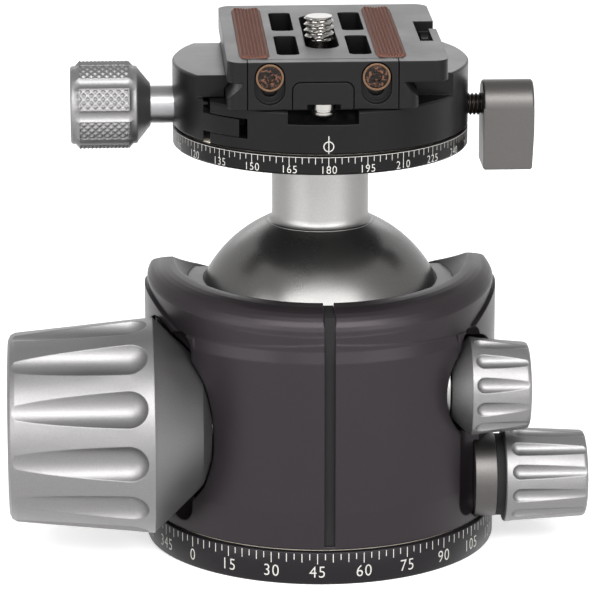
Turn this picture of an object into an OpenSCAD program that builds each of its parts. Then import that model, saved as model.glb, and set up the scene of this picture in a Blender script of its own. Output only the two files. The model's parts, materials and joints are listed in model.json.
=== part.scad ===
// Tripod ball head with a quick-release clamp and plate.
// The head stands on its base ring: the origin is the centre of the tripod thread's mouth,
// +Z is up, -Y is the side with the slit and the scales' zero, +X is the side of the pan lock.
// Lengths are in millimetres, angles in degrees.

/* [Base] */
// Thickness of the scale ring
base_h = 7.2; // [6:0.1:9]
// Bevel on the edges of the scale ring
base_edge = 0.6; // [0.2:0.1:1.2]
// Radius of the tripod thread at its crests, 3/8 inch with 16 turns to the inch
thread_hole_r = 4; // [3.5:0.05:4.4]
// Radius of the steel bush that holds the tripod thread
bush_r = 7.5; // [6:0.1:9]
// Length of the steel bush
bush_h = 11.5; // [9:0.1:13]
// Thickness of the slippery washer under the housing
pan_washer_t = 0.38; // [0.3:0.02:0.6]
// Thickness of the ring that holds the housing down
retainer_t = 1.5; // [1.2:0.1:1.8]
// Overhang past the spigot of the ring that holds the housing down
retainer_over = 1.9; // [1.5:0.1:2.2]
// Radius of the shank of the screws in that ring
retainer_screw_r = 1; // [0.8:0.1:1.2]

/* [Ball] */
// Wall between the ball and the outside of the housing
ball_wall = 9.5; // [9:0.1:10]
// Thickness of the lower seat ring
seat_t = 1.95; // [1.6:0.05:2]
// Radius of the neck
neck_r = 10.1; // [9:0.1:10.6]
// Height of the neck's top above the ball's top
neck_h = 14.34; // [12.5:0.1:16.5]
// Width of the flare at the neck's foot
neck_flare = 1.3; // [0.6:0.1:1.5]
// Radius of the stud inside the neck
neck_stud_r = 4; // [3:0.1:5]

/* [Housing] */
// Radius of the housing and of the scale ring under it
housing_r = 37; // [36.5:0.1:38]
// Height of the housing's floor, which turns on the spigot
floor_h = 12; // [11.6:0.1:13]
// Height of the pocket for the retaining ring
pocket_h = 2.4; // [2.2:0.1:2.8]
// Gap round the ball in the housing
ball_gap = 0.5; // [0.4:0.05:0.6]
// Step from the panels in to the collar above them
collar_step = 0.6; // [0.2:0.1:1]
// Height of the horns above the ball's centre
horn_h = 16.8; // [16:0.1:18]
// Distance of the horns' peak behind the ball's centre
horn_back = 1.5; // [0:0.1:3]
// Fall of the rim toward the front
rim_front_slope = 3.6; // [2:0.1:5]
// Fall of the rim toward the drop notch at the back
rim_back_slope = 23; // [15:0.5:24]
// Height over which the horns round off
horn_round_h = 4.9; // [4:0.1:5.5]
// Width over which the horns round off
horn_round_w = 5.6; // [3:0.1:6]
// Height of the front panel's top above the ball's centre
panel_top_h = 6.3; // [5.5:0.1:7]
// Height of the side walls' top above the ball's centre
side_top_h = 11.8; // [11:0.1:12.5]
// Angle from the front to the middle of each vertical channel
channel_angle = 55; // [53:0.5:57]
// Radius of the cutter that makes the vertical channels
channel_r = 4.2; // [3.8:0.1:4.6]
// Width of the slit in the front
slit_w = 2.2; // [1.8:0.1:2.6]
// Height of the upper ball ring's foot above the ball's centre
upper_ring_low = 5.5; // [5:0.1:7]
// Height of the upper ball ring's top above the ball's centre
upper_ring_high = 12.4; // [11:0.1:13]
// Room on each side of the neck in the drop notch
notch_room = 1.9; // [1.7:0.1:2.4]

/* [Main lock knob] */
// Distance of the main spindle behind the front of the ball
main_in = 8; // [7.3:0.1:8.5]
// Gap between the lower seat ring and the main lock's shoe over it
main_shoe_gap = 1.43; // [0.43:0.1:2.03]
// Radius of the grip at its inner end
main_r = 22.4; // [21:0.1:22.6]
// Radius of the grip at its outer end
main_r_end = 19.6; // [18.4:0.1:20]
// Length of the grip
main_len = 30.4; // [28:0.2:34]
// Radius of the cone's small end
main_cone_r = 9; // [8:0.1:9.2]
// Length of the cone that leads into the housing
main_cone_len = 11.4; // [10.8:0.1:12]
// Radius at which the cone turns steeper
main_cone_turn_r = 12.8; // [11:0.1:14]
// Radius of the main spindle
main_spindle_r = 4; // [3.2:0.1:4.4]

/* [Friction knob] */
// Distance of the friction spindle behind the front of the ball
friction_in = 7; // [6.5:0.1:7.5]
// Gap between the friction grip and the pan grip under it
friction_gap = 0.8; // [0.6:0.1:1.4]
// Radius of the friction grip at its inner end
friction_r = 10.3; // [9.5:0.1:10.6]
// Radius of the friction grip at its outer end
friction_r_end = 9.1; // [8.4:0.1:9.4]
// Length of the friction grip
friction_len = 12.5; // [11:0.5:14]
// Radius of the friction spindle
friction_spindle_r = 2.6; // [2.2:0.1:2.8]

/* [Pan lock knob] */
// Distance of the pan spindle behind the front of the ball
pan_in = 12.5; // [12:0.1:13]
// Distance of the pan spindle below the top of the housing's floor
pan_below = 3.2; // [3:0.1:3.8]
// Radius of the silver boss
pan_boss_r = 8.7; // [8:0.1:8.8]
// Length of the silver boss
pan_boss_len = 4.5; // [4:0.1:5]
// Radius of the pan grip at its inner end
pan_r = 10; // [9:0.1:10.2]
// Radius of the pan grip at its outer end
pan_r_end = 9.1; // [8.2:0.1:9.2]
// Length of the pan grip
pan_len = 17.3; // [16:0.1:20]
// Thickness of the black washer behind the pan grip
pan_ring_t = 1.7; // [1.2:0.1:2]
// Radius of the pan spindle
pan_spindle_r = 2.6; // [2.2:0.1:2.7]

/* [Clamp] */
// Radius of the clamp and of the upper scale ring
clamp_r = 30.8; // [30:0.1:32]
// Thickness of the upper scale ring
scale_ring_h = 3.95; // [3.4:0.05:4.5]
// Thickness of the washer under the clamp
top_washer_t = 0.25; // [0.2:0.01:0.4]
// Height of the clamp's round body
clamp_h = 8.8; // [8.6:0.1:10]
// Height of the jaws above the round body
jaw_h = 4.7; // [4.2:0.1:4.9]
// Length of the jaws along the plate
jaw_len = 32; // [28:0.5:34]
// Distance from the clamp's round edge in to the split between jaw and body
jaw_block = 6.6; // [6:0.1:7]
// Width of the split between jaw and body
jaw_gap = 1.3; // [1:0.1:1.6]
// Reach of the jaw's tongues past the split
tongue_len = 6.35; // [5.8:0.1:6.6]
// Height of the jaw's tongues
tongue_h = 3.7; // [3:0.1:4]
// Radius of the hub that the clamp turns on
hub_r = 14; // [13:0.1:14.4]
// Height of the clamp screw above the body's underside
clamp_axis_h = 4; // [3.6:0.1:4.4]
// Radius of the clamp screw's thread
clamp_screw_r = 3; // [2.6:0.1:3.1]
// Radius of the clamp screw's shaft
clamp_shaft_r = 3.9; // [3.4:0.1:4]
// Radius of the clamp knob over its pads
clamp_knob_r = 9.2; // [8.6:0.1:9.6]
// Radius of the clamp knob's rims
clamp_rim_r = 8.1; // [7.6:0.1:8.4]
// Length of the clamp knob without its cone
clamp_knob_len = 14; // [12:0.5:16]
// Distance from the clamp's wall to the clamp knob's cone
clamp_shaft_show = 4.6; // [4:0.1:6]

/* [Pan lever] */
// Height of the lever screw above the body's underside
lever_axis_h = 3.3; // [3.1:0.1:4]
// Radius of the lever's round head
lever_r = 5.1; // [4.6:0.1:5.6]
// Distance from the lever's screw to its flat end
lever_reach = 13; // [11:0.1:16]
// Length of the lever along its screw
lever_len = 10.6; // [9:0.1:13]
// Length of bare thread between clamp and lever
lever_show = 3; // [1.8:0.1:3.6]
// Radius of the lever's screw
lever_screw_r = 2.4; // [2.1:0.1:2.5]

/* [Plate] */
// Distance of the plate's left edge from the centre
plate_left = 20.3; // [20:0.1:21]
// Distance of the dovetail's right edge from the centre
plate_foot_right = 18.5; // [18:0.1:19]
// Width of the flange past the dovetail's right edge
plate_flange_w = 5.9; // [5:0.1:7]
// Distance of the plate's front face from the centre
plate_front = 28.6; // [28:0.1:29.4]
// Distance of the plate's back face from the centre
plate_back = 29.7; // [29:0.1:31]
// Height of the plate
plate_h = 9.8; // [9.6:0.1:10.4]
// Height of the dovetail's upright edge
foot_h = 1.9; // [1.6:0.1:2.2]
// Depth of the dovetail groove
dovetail = 3.2; // [2.8:0.1:3.4]
// Radius of the plate's upright corners
plate_corner = 3; // [2:0.1:3.6]
// Width of the slot for the camera screw
screw_slot_w = 6.8; // [6.6:0.05:7.2]
// Front end of the slot for the camera screw
slot_front = 15.7; // [15:0.1:16.5]
// Back end of the slot for the camera screw
slot_back = 18.5; // [17:0.1:19]
// Radius of the camera screw's thread, 1/4 inch with 20 turns to the inch
stud_r = 3.175; // [3.1:0.005:3.2]
// Height of the camera screw above the plate
stud_h = 3.7; // [3.4:0.1:5]
// Width of the rubber pads
pad_w = 6; // [5:0.1:6.4]
// Length of the rubber pads
pad_len = 49.8; // [44:0.2:51]
// Height of the rubber pads above the plate
pad_proud = 0.5; // [0.3:0.1:0.8]
// Number of grooves along a rubber pad
pad_grooves = 5; // [4:1:6]

/* [Flange] */
// Half width of the sliding flange
lip_half = 15.15; // [14.4:0.05:15.6]
// Thickness of the sliding flange
lip_t = 2.9; // [2.6:0.1:3.1]
// Travel of the sliding flange
lip_travel = 2.4; // [2:0.1:2.5]
// Half width of the cut-out in the flange
lip_window_half = 6.3; // [5.6:0.1:6.8]
// Height of the cut-out in the flange
lip_window_h = 5.7; // [5:0.1:6]
// Half distance between the flange's screws
lip_screw_half = 10.75; // [10.4:0.05:11]
// Radius of the heads of the flange's screws
lip_screw_r = 2.9; // [2.5:0.05:2.95]

/* [Hidden] */
$fn = 64;

// Fits and overruns
fit = 0.06;       // running fit, on the radius
snug = 0.02;      // pieces of one body that sit in each other
slide = 0.1;      // flat faces that slide past each other
clear = 0.3;      // free space between moving pieces
cut = 1;          // how far a cut runs past the face it opens

// Radii that follow the housing
base_r = housing_r;
ball_r = housing_r - ball_wall;
spigot_share = 0.764;
spigot_r = spigot_share * ball_r;
retainer_r = spigot_r + retainer_over;

// Heights, from the foot up
washer_z = base_h;
housing_z = washer_z + pan_washer_t + snug;
floor_z = housing_z + floor_h;
spigot_z = floor_z + fit;
retainer_z = spigot_z + retainer_t;
seat_z = floor_z + pocket_h;
seat_height_share = 0.784;
ball_z = seat_z + seat_height_share * ball_r;
neck_z = ball_z + ball_r + neck_h;
ring_top_z = neck_z + scale_ring_h;
clamp_z = ring_top_z + top_washer_t;
clamp_top_z = clamp_z + clamp_h;
plate_z = clamp_top_z + slide;
plate_top_z = plate_z + plate_h;

// Base
dish_r = ball_r + 2 * ball_gap;
washer_step = 1.2;
pan_washer_out = housing_r - washer_step;
retainer_room = 0.9;
retainer_in = sqrt(pow(ball_r, 2) - pow(ball_z - retainer_z, 2)) + retainer_room;
retainer_screws = 4;
retainer_screw_ring = (retainer_in + spigot_r) / 2;
retainer_screw_len = 5;
retainer_head_share = 1.7;
retainer_head_r = retainer_head_share * retainer_screw_r;

// Housing
bore_r = ball_r + ball_gap;
collar_r = housing_r - collar_step;
pocket_r = retainer_r + clear;
ledge_w = 1.4;
well_r = pocket_r + ledge_w;
seat_r = well_r - slide;
foot_taper_h = 7.8;
foot_taper_w = 0.5;
panel_bevel_h = 2.4;
panel_bevel_w = 0.5;
panel_bow = 1.6;
panel_half_share = 0.738;
side_half_share = 0.819;
panel_half = panel_half_share * housing_r;
side_half = side_half_share * housing_r;
horn_steps = 8;
collar_h = ball_z + horn_h - floor_z;
collar_flare = 3 * horn_round_w;
funnel_flare = 3.4;
funnel_h = 5;
funnel_z = ball_z + upper_ring_high;
channel_low = 5.8;
channel_high = 3;
channel_edge_angle = 6;
channel_low_z = housing_z + channel_low;
channel_high_z = ball_z + channel_high;
channel_d = housing_r * cos(channel_edge_angle)
    + sqrt(pow(channel_r, 2) - pow(housing_r * sin(channel_edge_angle), 2));
slit_low = 0.6;
slit_low_z = housing_z + slit_low;
strip_in = 0.3;
strip_low = 1;
notch_r = neck_r + notch_room;

// Locks: a knob's spindle pushes a shoe that slides in the housing
// Each grip's place is measured from the wall where its spindle comes out.
// Where a line along X, off the centre by y and z, meets a surface of radius r
function touch_x(r, y, z) = sqrt(r * r - y * y - z * z);
knob_room = 0.5;
bush_wall = 1;

// Main lock, along X on the left
main_y = main_in - ball_r;
main_out = 3.75;
main_face = touch_x(housing_r, main_y, 0) + main_out;
main_recess_x = main_face - main_cone_len - clear;
main_cone_turn = main_cone_len - main_r + main_cone_turn_r;
main_bush_len = 1.6;
main_bed_x = main_recess_x - main_bush_len;
main_bush_wall = 1.5;
main_bush_r = main_spindle_r + main_bush_wall;
main_travel = 0.9;
main_shoe_step = 0.4;
main_shoe_r = main_spindle_r + main_shoe_step;
main_z = seat_z + snug + seat_t + main_shoe_gap + main_shoe_r;
main_shoe_in = 0.6;
main_shoe_x = main_bed_x - main_travel - 2 * slide;
main_shoe_len = main_shoe_x + main_shoe_in - touch_x(ball_r, main_y, main_z - ball_z);
main_nose_r = main_spindle_r / 2;
main_nose_len = 2.8;
main_edge = 1.5;
main_flutes = 12;
main_flute_r = 4.45;
main_flute_out = 1.35;
main_flute_in = 1.5;
main_flute_d = main_r + main_flute_out;
main_flute_start = main_flute_in + main_flute_r;
main_phase = 4.4;

// Friction lock, along X on the right
friction_y = friction_in - ball_r;
friction_z = floor_z - pan_below + pan_r + friction_gap + friction_r;
friction_sunk = 1.15;
friction_face = touch_x(housing_r, friction_y, 0) - friction_sunk;
friction_cone_len = 3.8;
friction_cone_r = friction_r - friction_cone_len;
friction_recess_room = 1.2;
friction_recess_x = friction_face - friction_cone_len - friction_recess_room;
friction_recess_len = friction_cone_len + friction_recess_room - clear;
friction_bush_len = 1.2;
friction_bed_x = friction_recess_x - friction_bush_len;
friction_bush_r = friction_spindle_r + bush_wall;
friction_collar_r = friction_cone_r - knob_room;
friction_travel = 0.6;
friction_shoe_step = 0.5;
friction_shoe_r = friction_spindle_r + friction_shoe_step;
friction_shoe_in = 3.5;
friction_shoe_x = friction_bed_x - friction_travel - 2 * slide;
friction_shoe_len = friction_shoe_x + friction_shoe_in
    - touch_x(ball_r, friction_y, friction_z - ball_z);
friction_nose_r = friction_spindle_r / 2;
friction_nose_len = 2;
friction_edge = 0.8;
friction_flutes = 12;
friction_flute_r = 1.9;
friction_flute_out = 0.55;
friction_flute_in = 0.9;
friction_flute_d = friction_r + friction_flute_out;
friction_flute_start = friction_flute_in + friction_flute_r;
friction_phase = 13.1;

// Pan lock, along X on the right
pan_y = pan_in - ball_r;
pan_z = floor_z - pan_below;
pan_boss_sunk = 2.52;
pan_boss_x = touch_x(housing_r, pan_y, 0) - pan_boss_sunk;
pan_ring_x = pan_boss_x + pan_boss_len + slide;
pan_ring_r = pan_boss_r - slide;
pan_grip_x = pan_ring_x + pan_ring_t;
pan_touch_x = touch_x(spigot_r, pan_y, 0);
pan_bed_out = 6.75;
pan_bed_x = pan_touch_x + pan_bed_out;
pan_travel = 0.6;
pan_shoe_step = 0.2;
pan_shoe_r = pan_spindle_r + pan_shoe_step;
pan_shoe_in = 3.1;
pan_shoe_x = pan_bed_x - pan_travel - 2 * slide;
pan_shoe_len = pan_shoe_x + pan_shoe_in - pan_touch_x;
pan_nose_r = pan_spindle_r / 2;
pan_nose_len = 2.4;
pan_edge = 0.8;
pan_flutes = 12;
pan_flute_r = 1.8;
pan_flute_out = 0.6;
pan_flute_in = 1.2;
pan_flute_d = pan_r + pan_flute_out;
pan_flute_start = pan_flute_in + pan_flute_r;
pan_phase = 10.4;

// Neck and hub
neck_bed = 1.6;
neck_foot_z = ball_z + sqrt(pow(ball_r, 2) - pow(neck_r, 2));
neck_seat = neck_foot_z - neck_bed;
neck_stud_len = 14;
hub_boss_in = 4;
hub_boss_r = neck_r - hub_boss_in;
hub_boss_len = 1.4;
hub_lip_w = 1.2;
hub_lip_r = hub_r + hub_lip_w;
hub_lip_t = 1.4;
hub_top_in = 0.7;
hub_top_z = clamp_top_z - hub_top_in;
hub_lip_z = hub_top_z - hub_lip_t;
hub_well_r = hub_lip_r + clear;
hub_screw_r = 3;
hub_screw_head_r = 2 * hub_screw_r;
hub_screw_len = 20;
hub_hex_share = 0.7;

// Clamp body and jaws
clamp_edge = 0.35;
clamp_axis_z = clamp_z + clamp_axis_h;
jaw_split = clamp_r - jaw_block;
body_face = jaw_split - jaw_gap / 2;
jaw_face = jaw_split + jaw_gap / 2;
jaw_top_z = clamp_top_z + jaw_h;
grip_gap = 0.15;
tongue_low = 2.6;
tongue_z = clamp_z + tongue_low;
tongue_inset = 2;
tongue_in = jaw_len / 2 - tongue_inset;
tongue_end = jaw_split - tongue_len;
tongue_room = 1.65;
spring_y = 10.5;
spring_r = 2;
spring_wire = 0.5;
spring_in_body = 4.5;
spring_in_jaw = 3.4;
spring_body_x = jaw_split - spring_in_body;
spring_jaw_x = jaw_split + spring_in_jaw;
screw_hub_gap = 2.2;
screw_tip = hub_r + screw_hub_gap;
shaft_bed = 2.8;
shaft_seat = jaw_split + shaft_bed;
stop_slot_left = 8.2;
stop_slot_right = 6.1;
stop_slot_h = 2.6;
stop_slot_in = 17.4;
clamp_cone_len = 2.6;
clamp_knob_edge = 0.5;
clamp_pads = 8;
clamp_phase = 25.6;
clamp_pad_inset = 1.5;
clamp_flute_r = 2;
clamp_flute_out = 1.35;
clamp_flute_d = clamp_knob_r + clamp_flute_out;
clamp_grip_x = clamp_r + clamp_shaft_show + clamp_cone_len;

// Pan lever
lever_axis_z = clamp_z + lever_axis_h;
lever_x = clamp_r + lever_show;
lever_edge = 0.35;
lever_dome = 0.5;
lever_bed = 4.8;
lever_bed_x = hub_r + lever_bed;
lever_travel = 0.5;
lever_shoe_step = 0.2;
lever_shoe_r = lever_screw_r + lever_shoe_step;
lever_shoe_x = lever_bed_x - lever_travel - 2 * slide;
lever_nose_r = lever_screw_r / 2;
lever_nose_len = 1.8;

// Plate
plate_right = plate_foot_right + plate_flange_w;
groove_z = plate_z + foot_h + dovetail;
flange_low = 5.5;
flange_z = plate_z + flange_low;
slot_x = -0.3;
slot_r = screw_slot_w / 2;
slot_y0 = -slot_front + slot_r;
slot_y1 = slot_back - slot_r;
head_room_r = 7.7;
head_room_h = 4.5;
head_room_z = plate_z + head_room_h;
screw_washer_t = 1;
screw_washer_r = head_room_r - clear;
screw_head_r = 7;
screw_head_h = 2.2;
screw_neck_r = 2.6;
screw_edge = 0.8;
key_slot_w = 1.6;
key_slot_h = 1.1;
light_slot_w = 4.6;
light_slot_len = 18.8;
light_slot_x = 7.35;
light_slot_y = 12;
light_slot_corner = 1.2;
pad_left_x = -14.6;
pad_right_x = 13.1;
pad_mid_y = 0.5;
pad_bed = 0.9;
pad_corner = 1.6;
pad_groove_r = 0.42;
strap_x = 20.1;
strap_low_y = -9;
strap_mid_y = 3.3;
strap_high_y = 11;
strap_leg_w = 2.7;
strap_lug_t = 2;
strap_lug_in = 1.3;
stop_x = -0.85;
stop_y = 26.2;
stop_r = 2.5;
stop_len = 2;
stop_sink = 1;
stop_room = 1.6;
stop_shank_r = 1.3;
stop_shank_len = 4;

// Sliding flange
lip_x = -1;
lip_gap = 0.2;
lip_back = plate_front - lip_t - lip_gap;
lip_edge = 0.25;
lip_screw_in = 3.2;
lip_screw_z = plate_top_z - lip_screw_in;
lip_screw_h = 1.6;
lip_slot_r = lip_screw_r + lip_gap;
lip_slot_low_z = lip_screw_z - lip_travel - slide;
lip_shank_r = 1.5;
lip_shank_len = 5.2;
lip_hex_r = 1.2;
lip_hex_h = 1;
window_corner = 1.8;

// Colours
charcoal = "#3a383c";
dark = "#2b292c";
titanium = "#b9b4af";
silver = "#cfcdca";
satin = "#9c9a99";
steel = "#a9a9ab";
brass = "#b59a5a";
black = "#1c1b1c";
ivory = "#e4dfd2";
brown = "#6f4f45";

// A rod or cone along X that starts at the plane x = at
module rod(at, y, z, r, len, r2 = 0) {
    translate([at, y, z]) rotate([0, 90, 0]) cylinder(r1 = r, r2 = r2 == 0 ? r : r2, h = len);
}

// What is drawn for the right side, put on the left
module on_left() {
    mirror([1, 0, 0]) children();
}

// A lock's spindle, with a thin nose that holds its shoe
module spindle(from, to, y, z, r, nose_r, nose_len) {
    rod(from, y, z, r, to - from);
    rod(from - nose_len, y, z, nose_r, nose_len + nose_r);
}

// A lock's shoe, cut to the shape that it presses on
module shoe(back, len, y, z, r, nose_r, nose_len) {
    difference() {
        rod(back - len, y, z, r, len);
        rod(back - nose_len, y, z, nose_r + fit, nose_len + cut);
        children();
    }
}

// A ring between two radii
module ring(r_out, r_in, low, high) {
    translate([0, 0, low]) difference() {
        cylinder(r = r_out, h = high - low);
        translate([0, 0, -cut]) cylinder(r = r_in, h = high - low + 2 * cut);
    }
}

// A flat outline with round corners, from one corner to the other
module round_rect(x0, x1, y0, y1, r) {
    translate([x0 + r, y0]) square([x1 - x0 - 2 * r, y1 - y0]);
    translate([x0, y0 + r]) square([x1 - x0, y1 - y0 - 2 * r]);
    for (x = [x0 + r, x1 - r], y = [y0 + r, y1 - r]) translate([x, y]) circle(r = r);
}

// A slot's outline along Y between the centres of its round ends
module slot_outline(x, y0, y1, r) {
    translate([x - r, y0]) square([2 * r, y1 - y0]);
    for (y = [y0, y1]) translate([x, y]) circle(r = r);
}

// A grip on its end face, with flutes that its taper makes wide at the foot
module fluted_grip(r, r_end, len, edge, flutes, flute_r, flute_d, start, phase) {
    difference() {
        rotate_extrude() polygon([
            [0, 0], [r - edge / 3, 0], [r, edge / 3], [r_end, len - edge],
            [r_end - edge / 3, len - edge / 3], [r_end - edge, len], [0, len]
        ]);
        for (i = [0:flutes - 1]) rotate([0, 0, phase + i * 360 / flutes])
            translate([flute_d, 0, start]) {
                cylinder(r = flute_r, h = len);
                sphere(r = flute_r);
            }
    }
}

// The housing's outline seen from the side, under the sloping rim
module rim_side(lower) {
    peak = ball_z + horn_h - lower;
    reach = housing_r + cut;
    translate([-reach, 0, 0]) rotate([90, 0, 90]) linear_extrude(2 * reach) polygon([
        [-reach, 0],
        [-reach, peak - (reach + horn_back) * tan(rim_front_slope)],
        [horn_back, peak],
        [reach, peak - (reach - horn_back) * tan(rim_back_slope)],
        [reach, 0]
    ]);
}

// The front panel and the side walls, below the collar
module panels() {
    reach = housing_r + cut;
    panel_z = ball_z + panel_top_h;
    side_z = ball_z + side_top_h;
    intersection() {
        union() {
            translate([0, 0, housing_z]) cylinder(
                r1 = housing_r - foot_taper_w, r2 = housing_r, h = foot_taper_h);
            translate([0, 0, housing_z + foot_taper_h])
                cylinder(r = housing_r, h = side_z - housing_z - foot_taper_h);
        }
        translate([0, reach, 0]) rotate([90, 0, 0]) linear_extrude(2 * reach) polygon([
            [-reach, 0], [-reach, side_z], [-housing_r, side_z], [-side_half, panel_z],
            [-panel_half, panel_z], [0, panel_z + panel_bow], [panel_half, panel_z],
            [side_half, panel_z], [housing_r, side_z], [reach, side_z], [reach, 0]
        ]);
    }
}

// The soft bevel along the top of the front and back panels
module panel_bevel() {
    top = ball_z + panel_top_h;
    intersection() {
        rotate_extrude() polygon([
            [housing_r, top - panel_bevel_h], [housing_r - panel_bevel_w, top],
            [housing_r - panel_bevel_w, top + panel_bevel_h],
            [housing_r + cut, top + panel_bevel_h], [housing_r + cut, top - panel_bevel_h]
        ]);
        translate([-panel_half, -housing_r - cut, top - panel_bevel_h])
            cube([2 * panel_half, 2 * (housing_r + cut), 2 * panel_bevel_h]);
    }
}

// The collar, whose round top edge follows the rim's fall toward the front
module collar() {
    crown_r = collar_r + horn_round_h * sin(rim_front_slope);
    intersection() {
        translate([0, 0, floor_z]) cylinder(r = collar_r, h = collar_h + cut);
        translate([0, horn_back, floor_z + collar_h]) rotate([rim_front_slope, 0, 0])
            translate([0, -horn_back, 0]) rotate_extrude() polygon(concat(
                [[0, -collar_h - cut], [crown_r + collar_flare, -collar_h - cut]],
                [for (i = [0:horn_steps]) let (a = i * 90 / horn_steps) [
                    crown_r - horn_round_w * (1 - cos(a)), -horn_round_h * (1 - sin(a))
                ]],
                [[0, 0]]
            ));
    }
}

// Upright channels between the panels and the side walls
module channels() {
    for (side = [-1, 1], end = [0, 180])
        rotate([0, 0, end + side * channel_angle]) translate([0, -channel_d, 0]) {
            translate([0, 0, channel_low_z])
                cylinder(r = channel_r, h = channel_high_z - channel_low_z);
            for (z = [channel_low_z, channel_high_z]) translate([0, 0, z]) sphere(r = channel_r);
        }
}

// The way down for the neck at the back
module drop_notch(r) {
    translate([0, 0, ball_z]) rotate([-90, 0, 0]) cylinder(r = r, h = housing_r + cut);
    translate([-r, 0, ball_z]) cube([2 * r, housing_r + cut, horn_h + cut]);
}

// The hollow for ball, seat and retaining ring
module ball_hollow() {
    translate([0, 0, ball_z]) sphere(r = bore_r);
    translate([0, 0, ball_z]) cylinder(r = bore_r, h = horn_h + cut);
    translate([0, 0, seat_z]) cylinder(r = well_r, h = ball_z - seat_z);
    translate([0, 0, floor_z]) cylinder(r = pocket_r, h = pocket_h + cut);
    translate([0, 0, housing_z - cut]) cylinder(r = spigot_r + fit, h = floor_h + 2 * cut);
    translate([0, 0, funnel_z])
        cylinder(r1 = bore_r + snug, r2 = bore_r + funnel_flare, h = funnel_h);
}

// The conical recess that a knob's inner end sits in
module knob_recess(at, y, z, r_in, r_turn, turn, r_out, len) {
    translate([at, y, z]) rotate([0, 90, 0]) rotate_extrude() polygon([
        [0, 0], [r_in + knob_room, 0], [r_turn + knob_room, turn], [r_out + knob_room, len],
        [r_out + knob_room, housing_r], [0, housing_r]
    ]);
}

// Room for the main knob's cone, bush, spindle and shoe
module main_passage() {
    on_left() {
        knob_recess(main_recess_x, main_y, main_z, main_cone_r, main_cone_turn_r,
            main_cone_turn, main_r, main_cone_len);
        rod(main_bed_x, main_y, main_z, main_bush_r + snug, main_bush_len + cut);
        rod(main_shoe_x - main_shoe_len - clear, main_y, main_z, main_shoe_r + fit,
            main_bed_x - main_shoe_x + main_shoe_len + clear + snug);
    }
}

// Room for the friction knob's cone, bush, spindle and shoe
module friction_passage() {
    knob_recess(friction_recess_x, friction_y, friction_z, friction_cone_r,
        friction_cone_r + friction_recess_room, friction_recess_room, friction_r,
        friction_recess_len);
    rod(friction_bed_x, friction_y, friction_z, friction_bush_r + snug, friction_bush_len + cut);
    rod(friction_shoe_x - friction_shoe_len - clear, friction_y, friction_z,
        friction_shoe_r + fit, friction_bed_x - friction_shoe_x + friction_shoe_len + clear + snug);
}

// Room for the pan lock's boss, spindle and shoe
module pan_passage() {
    rod(pan_boss_x, pan_y, pan_z, pan_boss_r + slide, housing_r);
    rod(pan_bed_x, pan_y, pan_z, pan_spindle_r + fit, housing_r);
    rod(pan_shoe_x - pan_shoe_len - clear, pan_y, pan_z, pan_shoe_r + fit,
        pan_bed_x - pan_shoe_x + pan_shoe_len + clear + snug);
}

module base_plate() {
    color(charcoal) difference() {
        rotate_extrude() polygon([
            [0, 0], [base_r - base_edge, 0], [base_r, base_edge], [base_r, base_h - base_edge / 2],
            [base_r - base_edge / 2, base_h], [spigot_r, base_h], [spigot_r, spigot_z],
            [0, spigot_z]
        ]);
        translate([0, 0, ball_z]) sphere(r = dish_r);
        translate([0, 0, -cut]) cylinder(r = bush_r + snug, h = bush_h + cut + snug);
        for (i = [0:retainer_screws - 1]) rotate([0, 0, (i + 0.5) * 360 / retainer_screws])
            translate([retainer_screw_ring, 0, retainer_z - retainer_screw_len - snug])
                cylinder(r = retainer_screw_r + snug, h = retainer_screw_len + cut);
    }
}

module tripod_thread_bush() {
    color(steel) ring(bush_r, thread_hole_r, 0, bush_h);
}

module pan_bearing_washer() {
    color(ivory) ring(pan_washer_out, spigot_r + clear, washer_z, washer_z + pan_washer_t);
}

module pan_retaining_ring() {
    color(steel) difference() {
        ring(retainer_r, retainer_in, spigot_z, retainer_z);
        for (i = [0:retainer_screws - 1]) rotate([0, 0, (i + 0.5) * 360 / retainer_screws])
            translate([retainer_screw_ring, 0, 0]) {
                translate([0, 0, spigot_z - cut])
                    cylinder(r = retainer_screw_r + snug, h = retainer_t + 2 * cut);
                translate([0, 0, retainer_z - retainer_screw_r]) cylinder(
                    r1 = retainer_screw_r + snug, r2 = retainer_head_r + snug,
                    h = retainer_screw_r + snug);
            }
    }
}

module retaining_ring_screws() {
    color(steel) for (i = [0:retainer_screws - 1])
        rotate([0, 0, (i + 0.5) * 360 / retainer_screws])
            translate([retainer_screw_ring, 0, retainer_z]) mirror([0, 0, 1])
                rotate_extrude() polygon([
                    [0, 0], [retainer_head_r, 0], [retainer_screw_r, retainer_screw_r],
                    [retainer_screw_r, retainer_screw_len], [0, retainer_screw_len]
                ]);
}

module housing() {
    color(charcoal) difference() {
        intersection() {
            union() {
                panels();
                collar();
            }
            rim_side(-snug);
        }
        panel_bevel();
        channels();
        ball_hollow();
        drop_notch(notch_r);
        translate([-slit_w / 2, -housing_r - cut, slit_low_z])
            cube([slit_w, housing_r + cut - bore_r, 2 * housing_r]);
        main_passage();
        friction_passage();
        pan_passage();
    }
}

module slit_strip() {
    color(black) intersection() {
        translate([-slit_w / 2 + snug, -housing_r, slit_low_z + snug])
            cube([slit_w - 2 * snug, housing_r - bore_r - clear, 2 * housing_r]);
        ring(collar_r - strip_in, bore_r, 0, 2 * housing_r);
        rim_side(strip_low);
    }
}

module upper_ball_ring() {
    color(dark) difference() {
        intersection() {
            translate([0, 0, ball_z + upper_ring_low])
                cylinder(r = bore_r - snug, h = upper_ring_high - upper_ring_low);
            rim_side(strip_low);
        }
        translate([0, 0, ball_z]) sphere(r = ball_r + fit);
        drop_notch(notch_r);
    }
}

module main_spindle_bush() {
    color(brass) on_left() difference() {
        rod(main_bed_x, main_y, main_z, main_bush_r, main_bush_len);
        rod(0, main_y, main_z, main_spindle_r + fit, housing_r);
    }
}

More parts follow.
